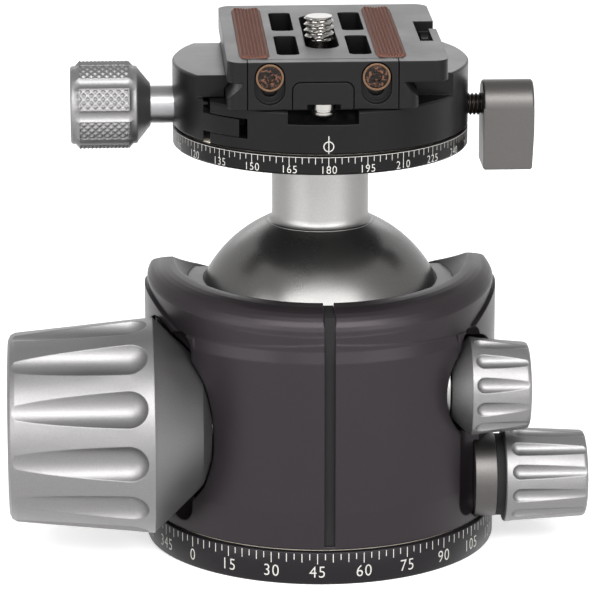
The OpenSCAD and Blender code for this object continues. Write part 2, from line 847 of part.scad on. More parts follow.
module friction_spindle_bush() {
    color(silver) difference() {
        union() {
            rod(friction_bed_x, friction_y, friction_z, friction_bush_r,
                friction_bush_len + snug);
            rod(friction_recess_x + snug, friction_y, friction_z, friction_collar_r,
                friction_recess_room - clear);
        }
        rod(0, friction_y, friction_z, friction_spindle_r + fit, housing_r);
    }
}

module pan_lock_boss() {
    color(silver) difference() {
        rod(pan_boss_x + snug, pan_y, pan_z, pan_boss_r, pan_boss_len);
        rod(0, pan_y, pan_z, pan_spindle_r + fit, 2 * housing_r);
    }
}

module main_lock_knob() {
    color(titanium) on_left() difference() {
        union() {
            translate([main_face, main_y, main_z]) rotate([0, 90, 0]) fluted_grip(
                main_r, main_r_end, main_len, main_edge, main_flutes, main_flute_r,
                main_flute_d, main_flute_start, main_phase);
            translate([main_face - main_cone_len, main_y, main_z]) rotate([0, 90, 0])
                rotate_extrude() polygon([
                    [0, 0], [main_cone_r, 0], [main_cone_turn_r, main_cone_turn],
                    [main_r - main_edge / 3, main_cone_len], [0, main_cone_len]
                ]);
        }
        rod(0, main_y, main_z, main_spindle_r + snug, main_face + main_len / 2);
    }
}

module main_spindle() {
    color(steel) on_left() spindle(main_shoe_x + slide, main_face + main_len / 2 - slide,
        main_y, main_z, main_spindle_r, main_nose_r, main_nose_len);
}

module main_pressure_shoe() {
    color(brass) on_left() shoe(main_shoe_x, main_shoe_len, main_y, main_z, main_shoe_r,
        main_nose_r, main_nose_len) translate([0, 0, ball_z]) sphere(r = ball_r + fit);
}

module friction_knob() {
    color(titanium) difference() {
        union() {
            translate([friction_face, friction_y, friction_z]) rotate([0, 90, 0]) fluted_grip(
                friction_r, friction_r_end, friction_len, friction_edge, friction_flutes,
                friction_flute_r, friction_flute_d, friction_flute_start, friction_phase);
            rod(friction_face - friction_cone_len, friction_y, friction_z, friction_cone_r,
                friction_cone_len, friction_r - friction_edge / 3);
        }
        rod(0, friction_y, friction_z, friction_spindle_r + snug,
            friction_face + friction_len / 2);
    }
}

module friction_spindle() {
    color(silver) spindle(friction_shoe_x + slide, friction_face + friction_len / 2 - slide,
        friction_y, friction_z, friction_spindle_r, friction_nose_r, friction_nose_len);
}

module friction_shoe() {
    color(brass) shoe(friction_shoe_x, friction_shoe_len, friction_y, friction_z,
        friction_shoe_r, friction_nose_r, friction_nose_len)
        translate([0, 0, ball_z]) sphere(r = ball_r + fit);
}

module pan_lock_knob() {
    color(titanium) difference() {
        translate([pan_grip_x, pan_y, pan_z]) rotate([0, 90, 0]) fluted_grip(
            pan_r, pan_r_end, pan_len, pan_edge, pan_flutes, pan_flute_r, pan_flute_d,
            pan_flute_start, pan_phase);
        rod(0, pan_y, pan_z, pan_spindle_r + snug, pan_grip_x + pan_len / 2);
    }
}

module pan_lock_washer() {
    color(black) difference() {
        rod(pan_ring_x, pan_y, pan_z, pan_ring_r, pan_ring_t - snug);
        rod(0, pan_y, pan_z, pan_spindle_r + snug, 2 * housing_r);
    }
}

module pan_lock_spindle() {
    color(steel) spindle(pan_shoe_x + slide, pan_grip_x + pan_len / 2 - slide, pan_y, pan_z,
        pan_spindle_r, pan_nose_r, pan_nose_len);
}

module pan_lock_shoe() {
    color(brass) shoe(pan_shoe_x, pan_shoe_len, pan_y, pan_z, pan_shoe_r, pan_nose_r,
        pan_nose_len) cylinder(r = spigot_r + fit + snug, h = ball_z);
}

module ball_seat_ring() {
    color(ivory) difference() {
        translate([0, 0, seat_z + snug]) cylinder(r = seat_r, h = seat_t);
        translate([0, 0, ball_z]) sphere(r = ball_r + fit);
    }
}

module ball() {
    color(satin) difference() {
        translate([0, 0, ball_z]) sphere(r = ball_r);
        translate([0, 0, neck_seat]) cylinder(r = neck_r + snug, h = ball_r);
        translate([0, 0, neck_seat - neck_stud_len / 2 - snug])
            cylinder(r = neck_stud_r + snug, h = ball_r);
    }
}

module neck() {
    color(silver) difference() {
        union() {
            translate([0, 0, neck_seat + snug]) cylinder(r = neck_r, h = neck_z - neck_seat - snug);
            translate([0, 0, neck_foot_z - neck_flare]) cylinder(
                r1 = neck_r + neck_flare, r2 = neck_r, h = 2 * neck_flare);
        }
        difference() {
            translate([0, 0, ball_z]) sphere(r = ball_r + snug);
            cylinder(r = neck_r, h = neck_z);
        }
        translate([0, 0, neck_seat - cut])
            cylinder(r = neck_stud_r + snug, h = neck_stud_len / 2 + cut + snug);
        translate([0, 0, neck_z - hub_boss_len - snug])
            cylinder(r = hub_boss_r + snug, h = hub_boss_len + cut);
        translate([0, 0, hub_top_z - hub_screw_len - snug])
            cylinder(r = hub_screw_r + snug, h = hub_screw_len);
    }
}

module neck_stud() {
    color(steel) translate([0, 0, neck_seat - neck_stud_len / 2])
        cylinder(r = neck_stud_r, h = neck_stud_len);
}

module top_scale_ring() {
    color(charcoal) difference() {
        rotate_extrude() polygon([
            [0, neck_z], [clamp_r - clamp_edge, neck_z], [clamp_r, neck_z + clamp_edge],
            [clamp_r, ring_top_z - clamp_edge], [clamp_r - clamp_edge, ring_top_z],
            [0, ring_top_z]
        ]);
        translate([0, 0, neck_z - cut])
            cylinder(r = hub_boss_r + snug, h = scale_ring_h + 2 * cut);
    }
}

module clamp_hub() {
    color(steel) difference() {
        rotate_extrude() polygon([
            [0, neck_z - hub_boss_len], [hub_boss_r, neck_z - hub_boss_len],
            [hub_boss_r, ring_top_z + snug], [hub_r, ring_top_z + snug], [hub_r, hub_lip_z],
            [hub_lip_r, hub_lip_z], [hub_lip_r, hub_top_z], [0, hub_top_z]
        ]);
        translate([0, 0, neck_z - hub_boss_len - cut])
            cylinder(r = hub_screw_r + snug, h = hub_screw_len);
        translate([0, 0, hub_top_z - hub_screw_r]) cylinder(
            r1 = hub_screw_r + snug, r2 = hub_screw_head_r + snug, h = hub_screw_r + snug);
    }
}

module hub_screw() {
    color(steel) difference() {
        translate([0, 0, hub_top_z]) mirror([0, 0, 1]) rotate_extrude() polygon([
            [0, 0], [hub_screw_head_r, 0], [hub_screw_r, hub_screw_r],
            [hub_screw_r, hub_screw_len], [0, hub_screw_len]
        ]);
        translate([0, 0, hub_top_z - hub_screw_r])
            cylinder(r = hub_hex_share * hub_screw_r, h = hub_screw_r + cut, $fn = 6);
    }
}

module top_bearing_washer() {
    color(ivory) ring(clamp_r - washer_step, hub_r + clear, ring_top_z, clamp_z - snug);
}

// A round slice of the clamp with bevelled edges
module clamp_slice(low, high) {
    rotate_extrude() polygon([
        [0, low], [clamp_r - clamp_edge, low], [clamp_r, low + clamp_edge],
        [clamp_r, high - clamp_edge], [clamp_r - clamp_edge, high], [0, high]
    ]);
}

// One jaw's lip, seen from the front: upright by the plate's foot, sloping into its groove
module jaw_lip(foot, out) {
    translate([0, jaw_len / 2, 0]) rotate([90, 0, 0]) linear_extrude(jaw_len) polygon([
        [foot + grip_gap, clamp_top_z - cut], [foot + grip_gap, plate_z + foot_h],
        [foot + grip_gap + plate_z + foot_h - jaw_top_z, jaw_top_z],
        [out, jaw_top_z], [out, clamp_top_z - cut]
    ]);
}

module clamp_body() {
    color(charcoal) difference() {
        union() {
            difference() {
                clamp_slice(clamp_z, clamp_top_z);
                translate([-2 * clamp_r - body_face, -clamp_r - cut, 0])
                    cube([2 * clamp_r, 2 * (clamp_r + cut), 2 * clamp_z]);
            }
            intersection() {
                clamp_slice(clamp_z, jaw_top_z);
                jaw_lip(plate_foot_right, clamp_r + cut);
            }
        }
        translate([0, 0, clamp_z - cut]) cylinder(r = hub_r + fit, h = clamp_h);
        translate([0, 0, hub_lip_z - slide]) cylinder(r = hub_well_r, h = clamp_h);
        for (side = [-1, 1]) {
            translate([-clamp_r - tongue_end + tongue_room,
                side > 0 ? tongue_in - slide : -clamp_r - cut, tongue_z - slide])
                cube([clamp_r, clamp_r + cut - tongue_in + slide, tongue_h + 2 * slide + clear / 2]);
            on_left() rod(spring_body_x, side * spring_y, clamp_axis_z, spring_r + slide, clamp_r);
            translate([-stop_slot_left, side > 0 ? stop_slot_in : -clamp_r - cut,
                clamp_top_z - stop_slot_h])
                cube([stop_slot_left + stop_slot_right, clamp_r + cut - stop_slot_in,
                    stop_slot_h + cut]);
        }
        on_left() rod(screw_tip - clear, 0, clamp_axis_z, clamp_screw_r + fit, clamp_r);
        rod(lever_bed_x, 0, lever_axis_z, lever_screw_r + fit, clamp_r);
        rod(0, 0, lever_axis_z, lever_shoe_r + fit, lever_bed_x + snug);
    }
}

module movable_jaw() {
    foot_z = clamp_z + slide;
    color(charcoal) difference() {
        union() {
            intersection() {
                clamp_slice(foot_z, clamp_top_z + slide);
                translate([-2 * clamp_r - jaw_face, -clamp_r, 0])
                    cube([2 * clamp_r, 2 * clamp_r, 2 * clamp_z]);
            }
            intersection() {
                clamp_slice(foot_z, jaw_top_z);
                union() {
                    mirror([1, 0, 0]) difference() {
                        jaw_lip(plate_left, clamp_r + cut);
                        translate([0, -clamp_r, 0])
                            cube([jaw_face, 2 * clamp_r, clamp_top_z + slide]);
                    }
                    for (side = [-1, 1]) translate([-clamp_r - tongue_end,
                        side > 0 ? tongue_in : -clamp_r, tongue_z])
                        cube([clamp_r, clamp_r - tongue_in, tongue_h]);
                }
            }
        }
        on_left() {
            rod(0, 0, clamp_axis_z, clamp_screw_r + clear, clamp_r);
            rod(shaft_seat, 0, clamp_axis_z, clamp_shaft_r + fit, clamp_r);
            for (side = [-1, 1])
                rod(0, side * spring_y, clamp_axis_z, spring_r + slide, spring_jaw_x);
        }
    }
}

module jaw_springs() {
    color(steel) on_left() for (side = [-1, 1]) difference() {
        rod(spring_body_x + snug, side * spring_y, clamp_axis_z, spring_r,
            spring_jaw_x - spring_body_x - 2 * snug);
        rod(0, side * spring_y, clamp_axis_z, spring_r - spring_wire, clamp_r);
    }
}

module clamp_knob() {
    color(titanium) on_left() difference() {
        translate([clamp_grip_x, 0, clamp_axis_z]) rotate([0, 90, 0]) difference() {
            rotate_extrude() polygon([
                [0, -clamp_cone_len], [clamp_shaft_r + clamp_knob_edge, -clamp_cone_len],
                [clamp_rim_r - clamp_knob_edge, 0], [clamp_rim_r, clamp_knob_edge],
                [clamp_rim_r, clamp_pad_inset - clamp_knob_edge],
                [clamp_knob_r, clamp_pad_inset + clamp_knob_edge],
                [clamp_knob_r, clamp_knob_len - clamp_pad_inset - clamp_knob_edge],
                [clamp_rim_r, clamp_knob_len - clamp_pad_inset + clamp_knob_edge],
                [clamp_rim_r, clamp_knob_len - clamp_knob_edge],
                [clamp_rim_r - clamp_knob_edge, clamp_knob_len], [0, clamp_knob_len]
            ]);
            for (i = [0:clamp_pads - 1])
                rotate([0, 0, clamp_phase + (i + 0.5) * 360 / clamp_pads])
                translate([clamp_flute_d, 0, 0]) cylinder(r = clamp_flute_r, h = clamp_knob_len);
        }
        rod(0, 0, clamp_axis_z, clamp_shaft_r + snug, clamp_grip_x + clamp_knob_len / 2);
    }
}

module clamp_screw() {
    color(silver) on_left() {
        rod(shaft_seat + slide, 0, clamp_axis_z, clamp_shaft_r,
            clamp_grip_x + clamp_knob_len / 2 - shaft_seat - 2 * slide);
        rod(screw_tip, 0, clamp_axis_z, clamp_screw_r, shaft_seat - screw_tip + clear);
    }
}

module pan_lever() {
    color(titanium) difference() {
        translate([lever_x, 0, lever_axis_z]) {
            rotate([0, 90, 0]) rotate_extrude() polygon([
                [0, 0], [lever_r - lever_edge, 0], [lever_r, lever_edge],
                [lever_r, lever_len - lever_edge], [lever_r - lever_edge, lever_len],
                [0, lever_len + lever_dome]
            ]);
            translate([0, lever_r, 0]) rotate([90, 0, 0]) linear_extrude(2 * lever_r) polygon([
                [0, -lever_reach + lever_edge], [lever_edge, -lever_reach],
                [lever_len - 2 * lever_edge, -lever_reach],
                [lever_len - lever_edge, -lever_reach + lever_edge],
                [lever_len, -lever_r], [lever_len, 0], [0, 0]
            ]);
        }
        rod(0, 0, lever_axis_z, lever_screw_r + snug, lever_x + lever_len / 2);
    }
}

module pan_lever_screw() {
    color(steel) spindle(lever_shoe_x + slide, lever_x + lever_len / 2 - slide, 0, lever_axis_z,
        lever_screw_r, lever_nose_r, lever_nose_len);
}

module pan_lever_shoe() {
    color(brass) shoe(lever_shoe_x, lever_shoe_x, 0, lever_axis_z, lever_shoe_r, lever_nose_r,
        lever_nose_len) translate([0, 0, clamp_z]) cylinder(r = hub_r + fit + snug, h = clamp_h);
}

// The plate seen from the front: a dovetail with a flange on the right
module plate_section() {
    polygon([
        [-plate_left, plate_z], [-plate_left, plate_z + foot_h],
        [-plate_left + dovetail, groove_z], [-plate_left + dovetail, flange_z],
        [-plate_left, flange_z], [-plate_left, plate_top_z], [plate_right, plate_top_z],
        [plate_right, flange_z], [plate_foot_right - dovetail, flange_z],
        [plate_foot_right - dovetail, groove_z], [plate_foot_right, plate_z + foot_h],
        [plate_foot_right, plate_z]
    ]);
}

// A pad's outline from above, wider by a margin
module pad_outline(x, margin) {
    round_rect(x - pad_w / 2 - margin, x + pad_w / 2 + margin,
        pad_mid_y - pad_len / 2 - margin, pad_mid_y + pad_len / 2 + margin, pad_corner);
}

module strap_hole() {
    difference() {
        translate([0, 0, plate_z]) linear_extrude(plate_h + cut) {
            translate([strap_x, strap_mid_y])
                square([plate_right + cut - strap_x, strap_high_y - strap_mid_y]);
            translate([strap_x, strap_low_y]) square([strap_leg_w, strap_mid_y - strap_low_y + cut]);
        }
        translate([strap_x + strap_lug_in, strap_mid_y + strap_lug_in / 2, 0])
            cube([plate_right - strap_x - strap_lug_in, strap_high_y, flange_z + strap_lug_t]);
    }
}

// The plate's body, with its corners rounded in the flange and in the foot
module plate_block() {
    intersection() {
        translate([0, plate_back, 0]) rotate([90, 0, 0])
            linear_extrude(plate_back + plate_front) plate_section();
        union() {
            translate([0, 0, flange_z - snug]) linear_extrude(plate_h)
                round_rect(-plate_left, plate_right, -plate_front, plate_back, plate_corner);
            linear_extrude(flange_z)
                round_rect(-plate_left, plate_foot_right, -plate_front, plate_back, plate_corner);
        }
    }
}

// The window in the sliding flange, or the plate's tab in it, drawn deeper by a margin
module lip_window(margin) {
    translate([0, -plate_front - cut, 0]) rotate([-90, 0, 0]) linear_extrude(lip_t + 2 * cut)
        mirror([0, 1]) round_rect(
            lip_x - lip_window_half + margin, lip_x + lip_window_half - margin,
            plate_z - window_corner - cut, plate_z + lip_window_h - margin,
            window_corner - margin);
}

module plate() {
    color(dark) difference() {
        plate_block();
        difference() {
            translate([lip_x - lip_half - lip_gap, -plate_front - cut, plate_z - cut])
                cube([2 * (lip_half + lip_gap), lip_t + lip_gap + cut, plate_h + 2 * cut]);
            lip_window(lip_gap);
        }
        for (side = [-1, 1])
            translate([lip_x + side * lip_screw_half, -lip_back - cut, lip_screw_z])
                rotate([-90, 0, 0]) cylinder(r = lip_shank_r + snug,
                    h = cut + lip_shank_len - lip_t - lip_gap + snug);
        linear_extrude(plate_top_z + cut) slot_outline(slot_x, slot_y0, slot_y1, slot_r);
        linear_extrude(head_room_z) slot_outline(slot_x, slot_y0, slot_y1, head_room_r);
        for (side = [-1, 1], end = [-1, 1])
            translate([slot_x + side * light_slot_x, end * light_slot_y, plate_z - cut])
                linear_extrude(plate_h + 2 * cut) round_rect(-light_slot_w / 2, light_slot_w / 2,
                    -light_slot_len / 2, light_slot_len / 2, light_slot_corner);
        for (x = [pad_left_x, pad_right_x]) translate([0, 0, plate_top_z - pad_bed])
            linear_extrude(pad_bed + cut) pad_outline(x, snug);
        strap_hole();
        for (y = [-stop_y, stop_y]) translate([stop_x, y, plate_z - cut]) {
            cylinder(r = stop_r + stop_room, h = stop_sink + cut);
            cylinder(r = stop_shank_r + snug, h = stop_sink + stop_shank_len + cut + snug);
        }
    }
}

// A ribbed rubber pad that lies in a shallow bed
module rubber_pad(x) {
    top = plate_top_z + pad_proud;
    color(brown) difference() {
        translate([0, 0, plate_top_z - pad_bed + snug]) linear_extrude(pad_bed + pad_proud - snug)
            pad_outline(x, 0);
        for (i = [1:pad_grooves])
            translate([x - pad_w / 2 + i * pad_w / (pad_grooves + 1), pad_mid_y - pad_len, top])
                rotate([-90, 0, 0]) cylinder(r = pad_groove_r, h = 2 * pad_len, $fn = 24);
    }
}

module plate_pad_left() { rubber_pad(pad_left_x); }

module plate_pad_right() { rubber_pad(pad_right_x); }

module plate_stop_screws() {
    head = stop_sink + stop_len;
    color(silver) for (y = [-stop_y, stop_y]) translate([stop_x, y, plate_z + stop_sink]) {
        mirror([0, 0, 1]) rotate_extrude() polygon([
            [0, snug], [stop_r, snug], [stop_r, head - 2 * lip_edge],
            [stop_r - 2 * lip_edge, head], [0, head]
        ]);
        translate([0, 0, -slide]) cylinder(r = stop_shank_r, h = stop_shank_len + slide);
    }
}

module anti_twist_flange() {
    color(charcoal) difference() {
        translate([lip_x - lip_half, -plate_front, plate_z])
            cube([2 * lip_half, lip_t, plate_h]);
        lip_window(0);
        for (side = [-1, 1])
            translate([lip_x + side * lip_screw_half, -plate_front - cut, 0])
                rotate([-90, 0, 0]) mirror([0, 1, 0]) {
                    linear_extrude(lip_screw_h + lip_gap + cut)
                        slot_outline(0, lip_slot_low_z, lip_screw_z, lip_slot_r);
                    linear_extrude(lip_t + 2 * cut)
                        slot_outline(0, lip_slot_low_z, lip_screw_z, lip_shank_r + lip_gap);
                }
    }
}

module flange_screws() {
    color(black) for (side = [-1, 1])
        translate([lip_x + side * lip_screw_half, -plate_front, lip_screw_z])
            rotate([-90, 0, 0]) difference() {
                rotate_extrude() polygon([
                    [0, 0], [lip_screw_r - lip_edge, 0], [lip_screw_r, lip_edge],
                    [lip_screw_r, lip_screw_h], [lip_shank_r, lip_screw_h],
                    [lip_shank_r, lip_shank_len], [0, lip_shank_len]
                ]);
                translate([0, 0, -cut]) cylinder(r = lip_hex_r, h = lip_hex_h + cut, $fn = 6);
            }
}

module camera_screw_washer() {
    color(black) translate([slot_x, 0, 0]) ring(screw_washer_r, screw_neck_r + fit,
        head_room_z - slide - screw_washer_t, head_room_z - slide);
}

module camera_screw() {
    head_z = head_room_z - screw_washer_t - 2 * slide;
    low_z = head_z - screw_head_h;
    thread_z = plate_top_z + slide;
    top_z = plate_top_z + stud_h;
    color(steel) translate([slot_x, 0, 0]) difference() {
        rotate_extrude() polygon([
            [0, low_z], [screw_head_r - screw_edge / 2, low_z],
            [screw_head_r, low_z + screw_edge / 2], [screw_head_r, head_z],
            [screw_neck_r, head_z], [screw_neck_r, thread_z - screw_edge],
            [stud_r, thread_z], [stud_r, top_z - screw_edge], [stud_r - screw_edge, top_z],
            [0, top_z]
        ]);
        translate([-key_slot_w / 2, -screw_head_r - cut, low_z - cut])
            cube([key_slot_w, 2 * (screw_head_r + cut), key_slot_h + cut]);
    }
}

base_plate();
tripod_thread_bush();
pan_bearing_washer();
pan_retaining_ring();
retaining_ring_screws();
housing();
slit_strip();
upper_ball_ring();
main_spindle_bush();
friction_spindle_bush();
pan_lock_boss();
main_lock_knob();
main_spindle();
main_pressure_shoe();
friction_knob();
friction_spindle();
friction_shoe();
pan_lock_knob();
pan_lock_washer();
pan_lock_spindle();
pan_lock_shoe();
ball_seat_ring();
ball();
neck();
neck_stud();
top_scale_ring();
clamp_hub();
hub_screw();
top_bearing_washer();
clamp_body();
movable_jaw();
jaw_springs();
clamp_knob();
clamp_screw();
pan_lever();
pan_lever_screw();
pan_lever_shoe();
plate();
plate_pad_left();
plate_pad_right();
plate_stop_screws();
anti_twist_flange();
flange_screws();
camera_screw_washer();
camera_screw();
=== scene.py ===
# %% [markdown]
# # A tripod ball head, dressed in Blender
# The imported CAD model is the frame: it holds every part of the head in its real place
# and size, in metres, with the origin at the tripod thread. Everything could be built
# again from nothing, but most parts already have the right shape and only need a real
# finish. So this notebook keeps those, and builds again only the ones that need finer
# detail: scales, knurling, screw threads, ribs and round edges.

import json
import math

import bmesh
import bpy
import numpy as np
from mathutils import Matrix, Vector


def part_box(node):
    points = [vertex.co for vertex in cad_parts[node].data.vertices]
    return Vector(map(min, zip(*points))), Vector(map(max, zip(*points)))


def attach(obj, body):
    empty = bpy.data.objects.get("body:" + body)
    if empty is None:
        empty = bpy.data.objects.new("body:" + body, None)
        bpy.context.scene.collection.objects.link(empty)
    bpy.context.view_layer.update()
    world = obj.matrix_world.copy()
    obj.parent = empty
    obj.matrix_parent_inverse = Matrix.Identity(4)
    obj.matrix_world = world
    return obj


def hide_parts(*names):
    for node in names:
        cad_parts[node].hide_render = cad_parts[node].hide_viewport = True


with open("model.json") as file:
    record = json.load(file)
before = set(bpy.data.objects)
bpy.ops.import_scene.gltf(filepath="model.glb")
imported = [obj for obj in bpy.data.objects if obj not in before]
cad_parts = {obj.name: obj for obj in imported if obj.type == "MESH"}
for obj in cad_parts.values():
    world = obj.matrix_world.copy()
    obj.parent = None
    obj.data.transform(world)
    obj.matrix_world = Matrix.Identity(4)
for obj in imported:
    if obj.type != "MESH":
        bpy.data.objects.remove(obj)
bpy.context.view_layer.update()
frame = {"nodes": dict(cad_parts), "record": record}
nodes = frame["nodes"]
scene = bpy.context.scene
MM = 0.001

# %% [markdown]
# ## Camera
# The photograph was taken from a little above, almost straight in front, with a long
# lens. A camera could be placed by eye, but then every comparison would be a little
# off. The rings of the head are round, so their ellipses give the height of the camera,
# and two rings at different heights give its distance. The camera stands where those
# agree.

# %% Camera
CAMERA_DISTANCE = 811 * MM
CAMERA_HEIGHT = 276.6 * MM
CAMERA_SIDE = -4.2 * MM
CAMERA_TURN = math.radians(-3.0)
CAMERA_PITCH = math.radians(15.56)
FOCAL_PIXELS = 3981
FRAME_PIXELS = 600
SENSOR = 36

camera_data = bpy.data.cameras.new("photo_camera")
camera_data.sensor_width = SENSOR
camera_data.lens = FOCAL_PIXELS * SENSOR / FRAME_PIXELS
camera_data.clip_start = 0.05
camera_data.clip_end = 20
camera = bpy.data.objects.new("photo_camera", camera_data)
scene.collection.objects.link(camera)
backward = Vector((math.sin(CAMERA_TURN), -math.cos(CAMERA_TURN), 0))
sideways = Vector((math.cos(CAMERA_TURN), math.sin(CAMERA_TURN), 0))
camera.location = (
    backward * CAMERA_DISTANCE + sideways * CAMERA_SIDE + Vector((0, 0, CAMERA_HEIGHT))
)
camera.rotation_euler = (math.pi / 2 - CAMERA_PITCH, 0, CAMERA_TURN)
scene.camera = camera
print("camera at", [round(value, 3) for value in camera.location])

# %% [markdown]
# ## Colours and nodes
# Colours are written as sRGB hex values, as a paint or anodising sample would be
# measured. Blender mixes light in linear values, so one function turns them over. A
# material is a tree of nodes, which could be drawn by hand in the shader editor. In a
# script one small function that adds a node with its settings and links keeps each
# material as short as a recipe.

# %% Colour and node helpers
def linear(hex_colour):
    """An sRGB hex colour as linear red, green, blue and alpha."""
    values = [int(hex_colour[i : i + 2], 16) / 255 for i in (1, 3, 5)]
    return (
        *[v / 12.92 if v <= 0.04045 else ((v + 0.055) / 1.055) ** 2.4 for v in values],
        1,
    )


def add_node(tree, kind, settings=None, inputs=None):
    """Adds a node, sets its attributes and its sockets, and links what is a socket."""
    made = tree.nodes.new(kind)
    for name, value in (settings or {}).items():
        setattr(made, name, value)
    for name, value in (inputs or {}).items():
        if isinstance(value, bpy.types.NodeSocket):
            tree.links.new(value, made.inputs[name])
        else:
            made.inputs[name].default_value = value
    return made


print("a middle grey is", round(linear("#808080")[0], 3), "in linear light")

# %% Start and end of a material
def start_material(name):
    """An empty material, its tree, and the object's own coordinates in millimetres."""
    material = bpy.data.materials.new(name)
    material.use_nodes = True
    tree = material.node_tree
    tree.nodes.clear()
    place = add_node(tree, "ShaderNodeTexCoord").outputs["Object"]
    millimetres = add_node(
        tree,
        "ShaderNodeVectorMath",
        {"operation": "SCALE"},
        {0: place, "Scale": 1 / MM},
    ).outputs[0]
    return material, tree, millimetres


def shades(hex_colour, share):
    """A colour made darker, and made lighter, by a share of itself."""
    base = linear(hex_colour)[:3]
    darker = tuple(c * (1 - share) for c in base) + (1,)
    lighter = tuple(min(1, c * (1 + share)) for c in base) + (1,)
    return darker, lighter


def finish_material(tree, inputs):
    """Ends the tree with one Principled shader."""
    shader = add_node(tree, "ShaderNodeBsdfPrincipled", None, inputs)
    add_node(
        tree, "ShaderNodeOutputMaterial", None, {"Surface": shader.outputs["BSDF"]}
    )


print("material helpers ready")

# %% [markdown]
# ## Bead-blasted and anodised aluminium
# Nearly everything on the head is machined aluminium. It is bead-blasted before it is
# anodised, which leaves a surface of tiny dimples that break up the reflections, so the
# metal looks soft, like satin. The dye in the anodised layer sets the colour, though
# the foot ring, the lever and the boss are painted darker as shade, and the plate
# lighter as light. A plain grey metal with some roughness would give nearly that
# softness, but it looks like plastic up close. So the dimples are drawn as bump,
# roughness drifts where hands rub the metal, and a bevel node breaks the sharp CAD
# edges, which catch a thin line of light. Only colour, roughness, shine and edge change
# from part to part.

# %% Bead-blasted metal
# Real dimples are about 0.1 mm across. They are drawn coarser, so that they show.
DIMPLE_MM, DIMPLE_STRENGTH, DIMPLE_DEPTH_MM = 0.22, 0.3, 0.02
FINGERTIP_MM = 14  # the patches that handling leaves
RUBBED = 0.04  # how far they change the roughness, each way
DYE_SHARE = 0.22
EDGE_SAMPLES = 6


def blasted_metal(name, hex_colour, roughness, metallic, specular=0.5, edge_mm=0.35):
    """Dimpled aluminium, rubbed a little unevenly, with broken edges."""
    material, tree, millimetres = start_material(name)
    darker, lighter = shades(hex_colour, DYE_SHARE)
    dimples = add_node(
        tree,
        "ShaderNodeTexNoise",
        None,
        {
            "Vector": millimetres,
            "Scale": 1 / DIMPLE_MM,
            "Detail": 2.0,
            "Roughness": 0.6,
        },
    ).outputs["Fac"]
    handling = add_node(
        tree,
        "ShaderNodeTexNoise",
        None,
        {
            "Vector": millimetres,
            "Scale": 1 / FINGERTIP_MM,
            "Detail": 4.0,
            "Roughness": 0.55,
        },
    ).outputs["Fac"]
    rough = add_node(
        tree,
        "ShaderNodeMapRange",
        None,
        {
            "Value": handling,
            "From Min": 0.3,
            "From Max": 0.7,
            "To Min": roughness - RUBBED,
            "To Max": roughness + RUBBED,
        },
    )
    tint = add_node(
        tree,
        "ShaderNodeMix",
        {"data_type": "RGBA"},
        {"Factor": dimples, "A": darker, "B": lighter},
    )
    broken_edge = add_node(
        tree, "ShaderNodeBevel", {"samples": EDGE_SAMPLES}, {"Radius": edge_mm * MM}
    )
    bump = add_node(
        tree,
        "ShaderNodeBump",
        None,
        {
            "Height": dimples,
            "Strength": DIMPLE_STRENGTH,
            "Distance": DIMPLE_DEPTH_MM * MM,
            "Normal": broken_edge.outputs["Normal"],
        },
    )
    finish_material(
        tree,
        {
            "Base Color": tint.outputs["Result"],
            "Metallic": metallic,
            "Roughness": rough.outputs["Result"],
            "Specular IOR Level": specular,
            "Normal": bump.outputs["Normal"],
        },
    )
    return material


print("dimples", DIMPLE_MM, "mm across")

# %% Anodised colours
# The housing: a deep dye that still lets the metal glint, so that its curves show.
charcoal = blasted_metal(
    "charcoal_anodised_aluminium", "#272326", 0.35, 0.6, 0.25, edge_mm=0.55
)
# The foot ring: the housing's dye, painted darker as shade, and with less shine.
charcoal_in_shade = blasted_metal(
    "dark_charcoal_anodised_aluminium", "#191719", 0.35, 0.5, 0.2
)
# The clamp and its ring: black, with a grey sheen only where the light grazes it.
black = blasted_metal("black_anodised_aluminium", "#0e0d0e", 0.33, 0.45, 0.18)
# The plate: black like the clamp, painted a little lighter for the light on its flat
# top.
lit_plate_black = blasted_metal("lit_black_anodised_aluminium", "#131213", 0.35, 0.45, 0.16)
# The knobs: plain metal grey, with soft wide highlights that show each flute.
titanium = blasted_metal("titanium_grey_anodised_aluminium", "#737272", 0.44, 0.95)
# The lever and the pan lock's boss: the knobs' finish, painted a darker grey as the
# shade they stand in.
titanium_in_shade = blasted_metal("shaded_titanium_grey_aluminium", "#4d4b4a", 0.42, 0.95)
# The neck and a bush: clear, so they are the palest of the anodised parts.
silver = blasted_metal("clear_anodised_aluminium", "#8b8a89", 0.4, 0.95)
# The ball: ground smooth before it was anodised, so its highlights are tighter.
ball_grey = blasted_metal("satin_grey_ball", "#5b5a59", 0.28, 0.95)
print("eight anodised colours made")

# %% [markdown]
# ## Turned steel and brass
# The screws and spindles are steel, and the shoes that press on ball and foot are
# brass. They are turned on a lathe, which leaves marks too fine to see one by one, so
# the metal is bright and its reflections are only a little blurred. The marks could be
# grooves in the mesh, but at this size they only change how sharp a reflection is. So
# a fine pattern changes the roughness instead.

# %% Turned metal
TOOL_MARK_MM = 0.5  # real marks are finer, and are drawn coarser so that they show


def turned_metal(name, hex_colour, roughness, metallic=1.0):
    """Bright metal whose roughness varies with its tool marks."""
    material, tree, millimetres = start_material(name)
    marks = add_node(
        tree,
        "ShaderNodeTexNoise",
        None,
        {"Vector": millimetres, "Scale": 1 / TOOL_MARK_MM, "Detail": 3.0},
    )
    rough = add_node(
        tree,
        "ShaderNodeMapRange",
        None,
        {
            "Value": marks.outputs["Fac"],
            "To Min": roughness * 0.8,
            "To Max": roughness * 1.25,
        },
    )
    finish_material(
        tree,
        {
            "Base Color": linear(hex_colour),
            "Metallic": metallic,
            "Roughness": rough.outputs["Result"],
        },
    )
    return material


# Spindles, hub, springs and the tripod bush: plain grey steel.
steel = turned_metal("turned_stainless_steel", "#7e7e7f", 0.34)
# The camera screw and the stop screws: plated, so they mirror the room.
nickel = turned_metal("bright_nickel_plated_steel", "#918f8c", 0.24)
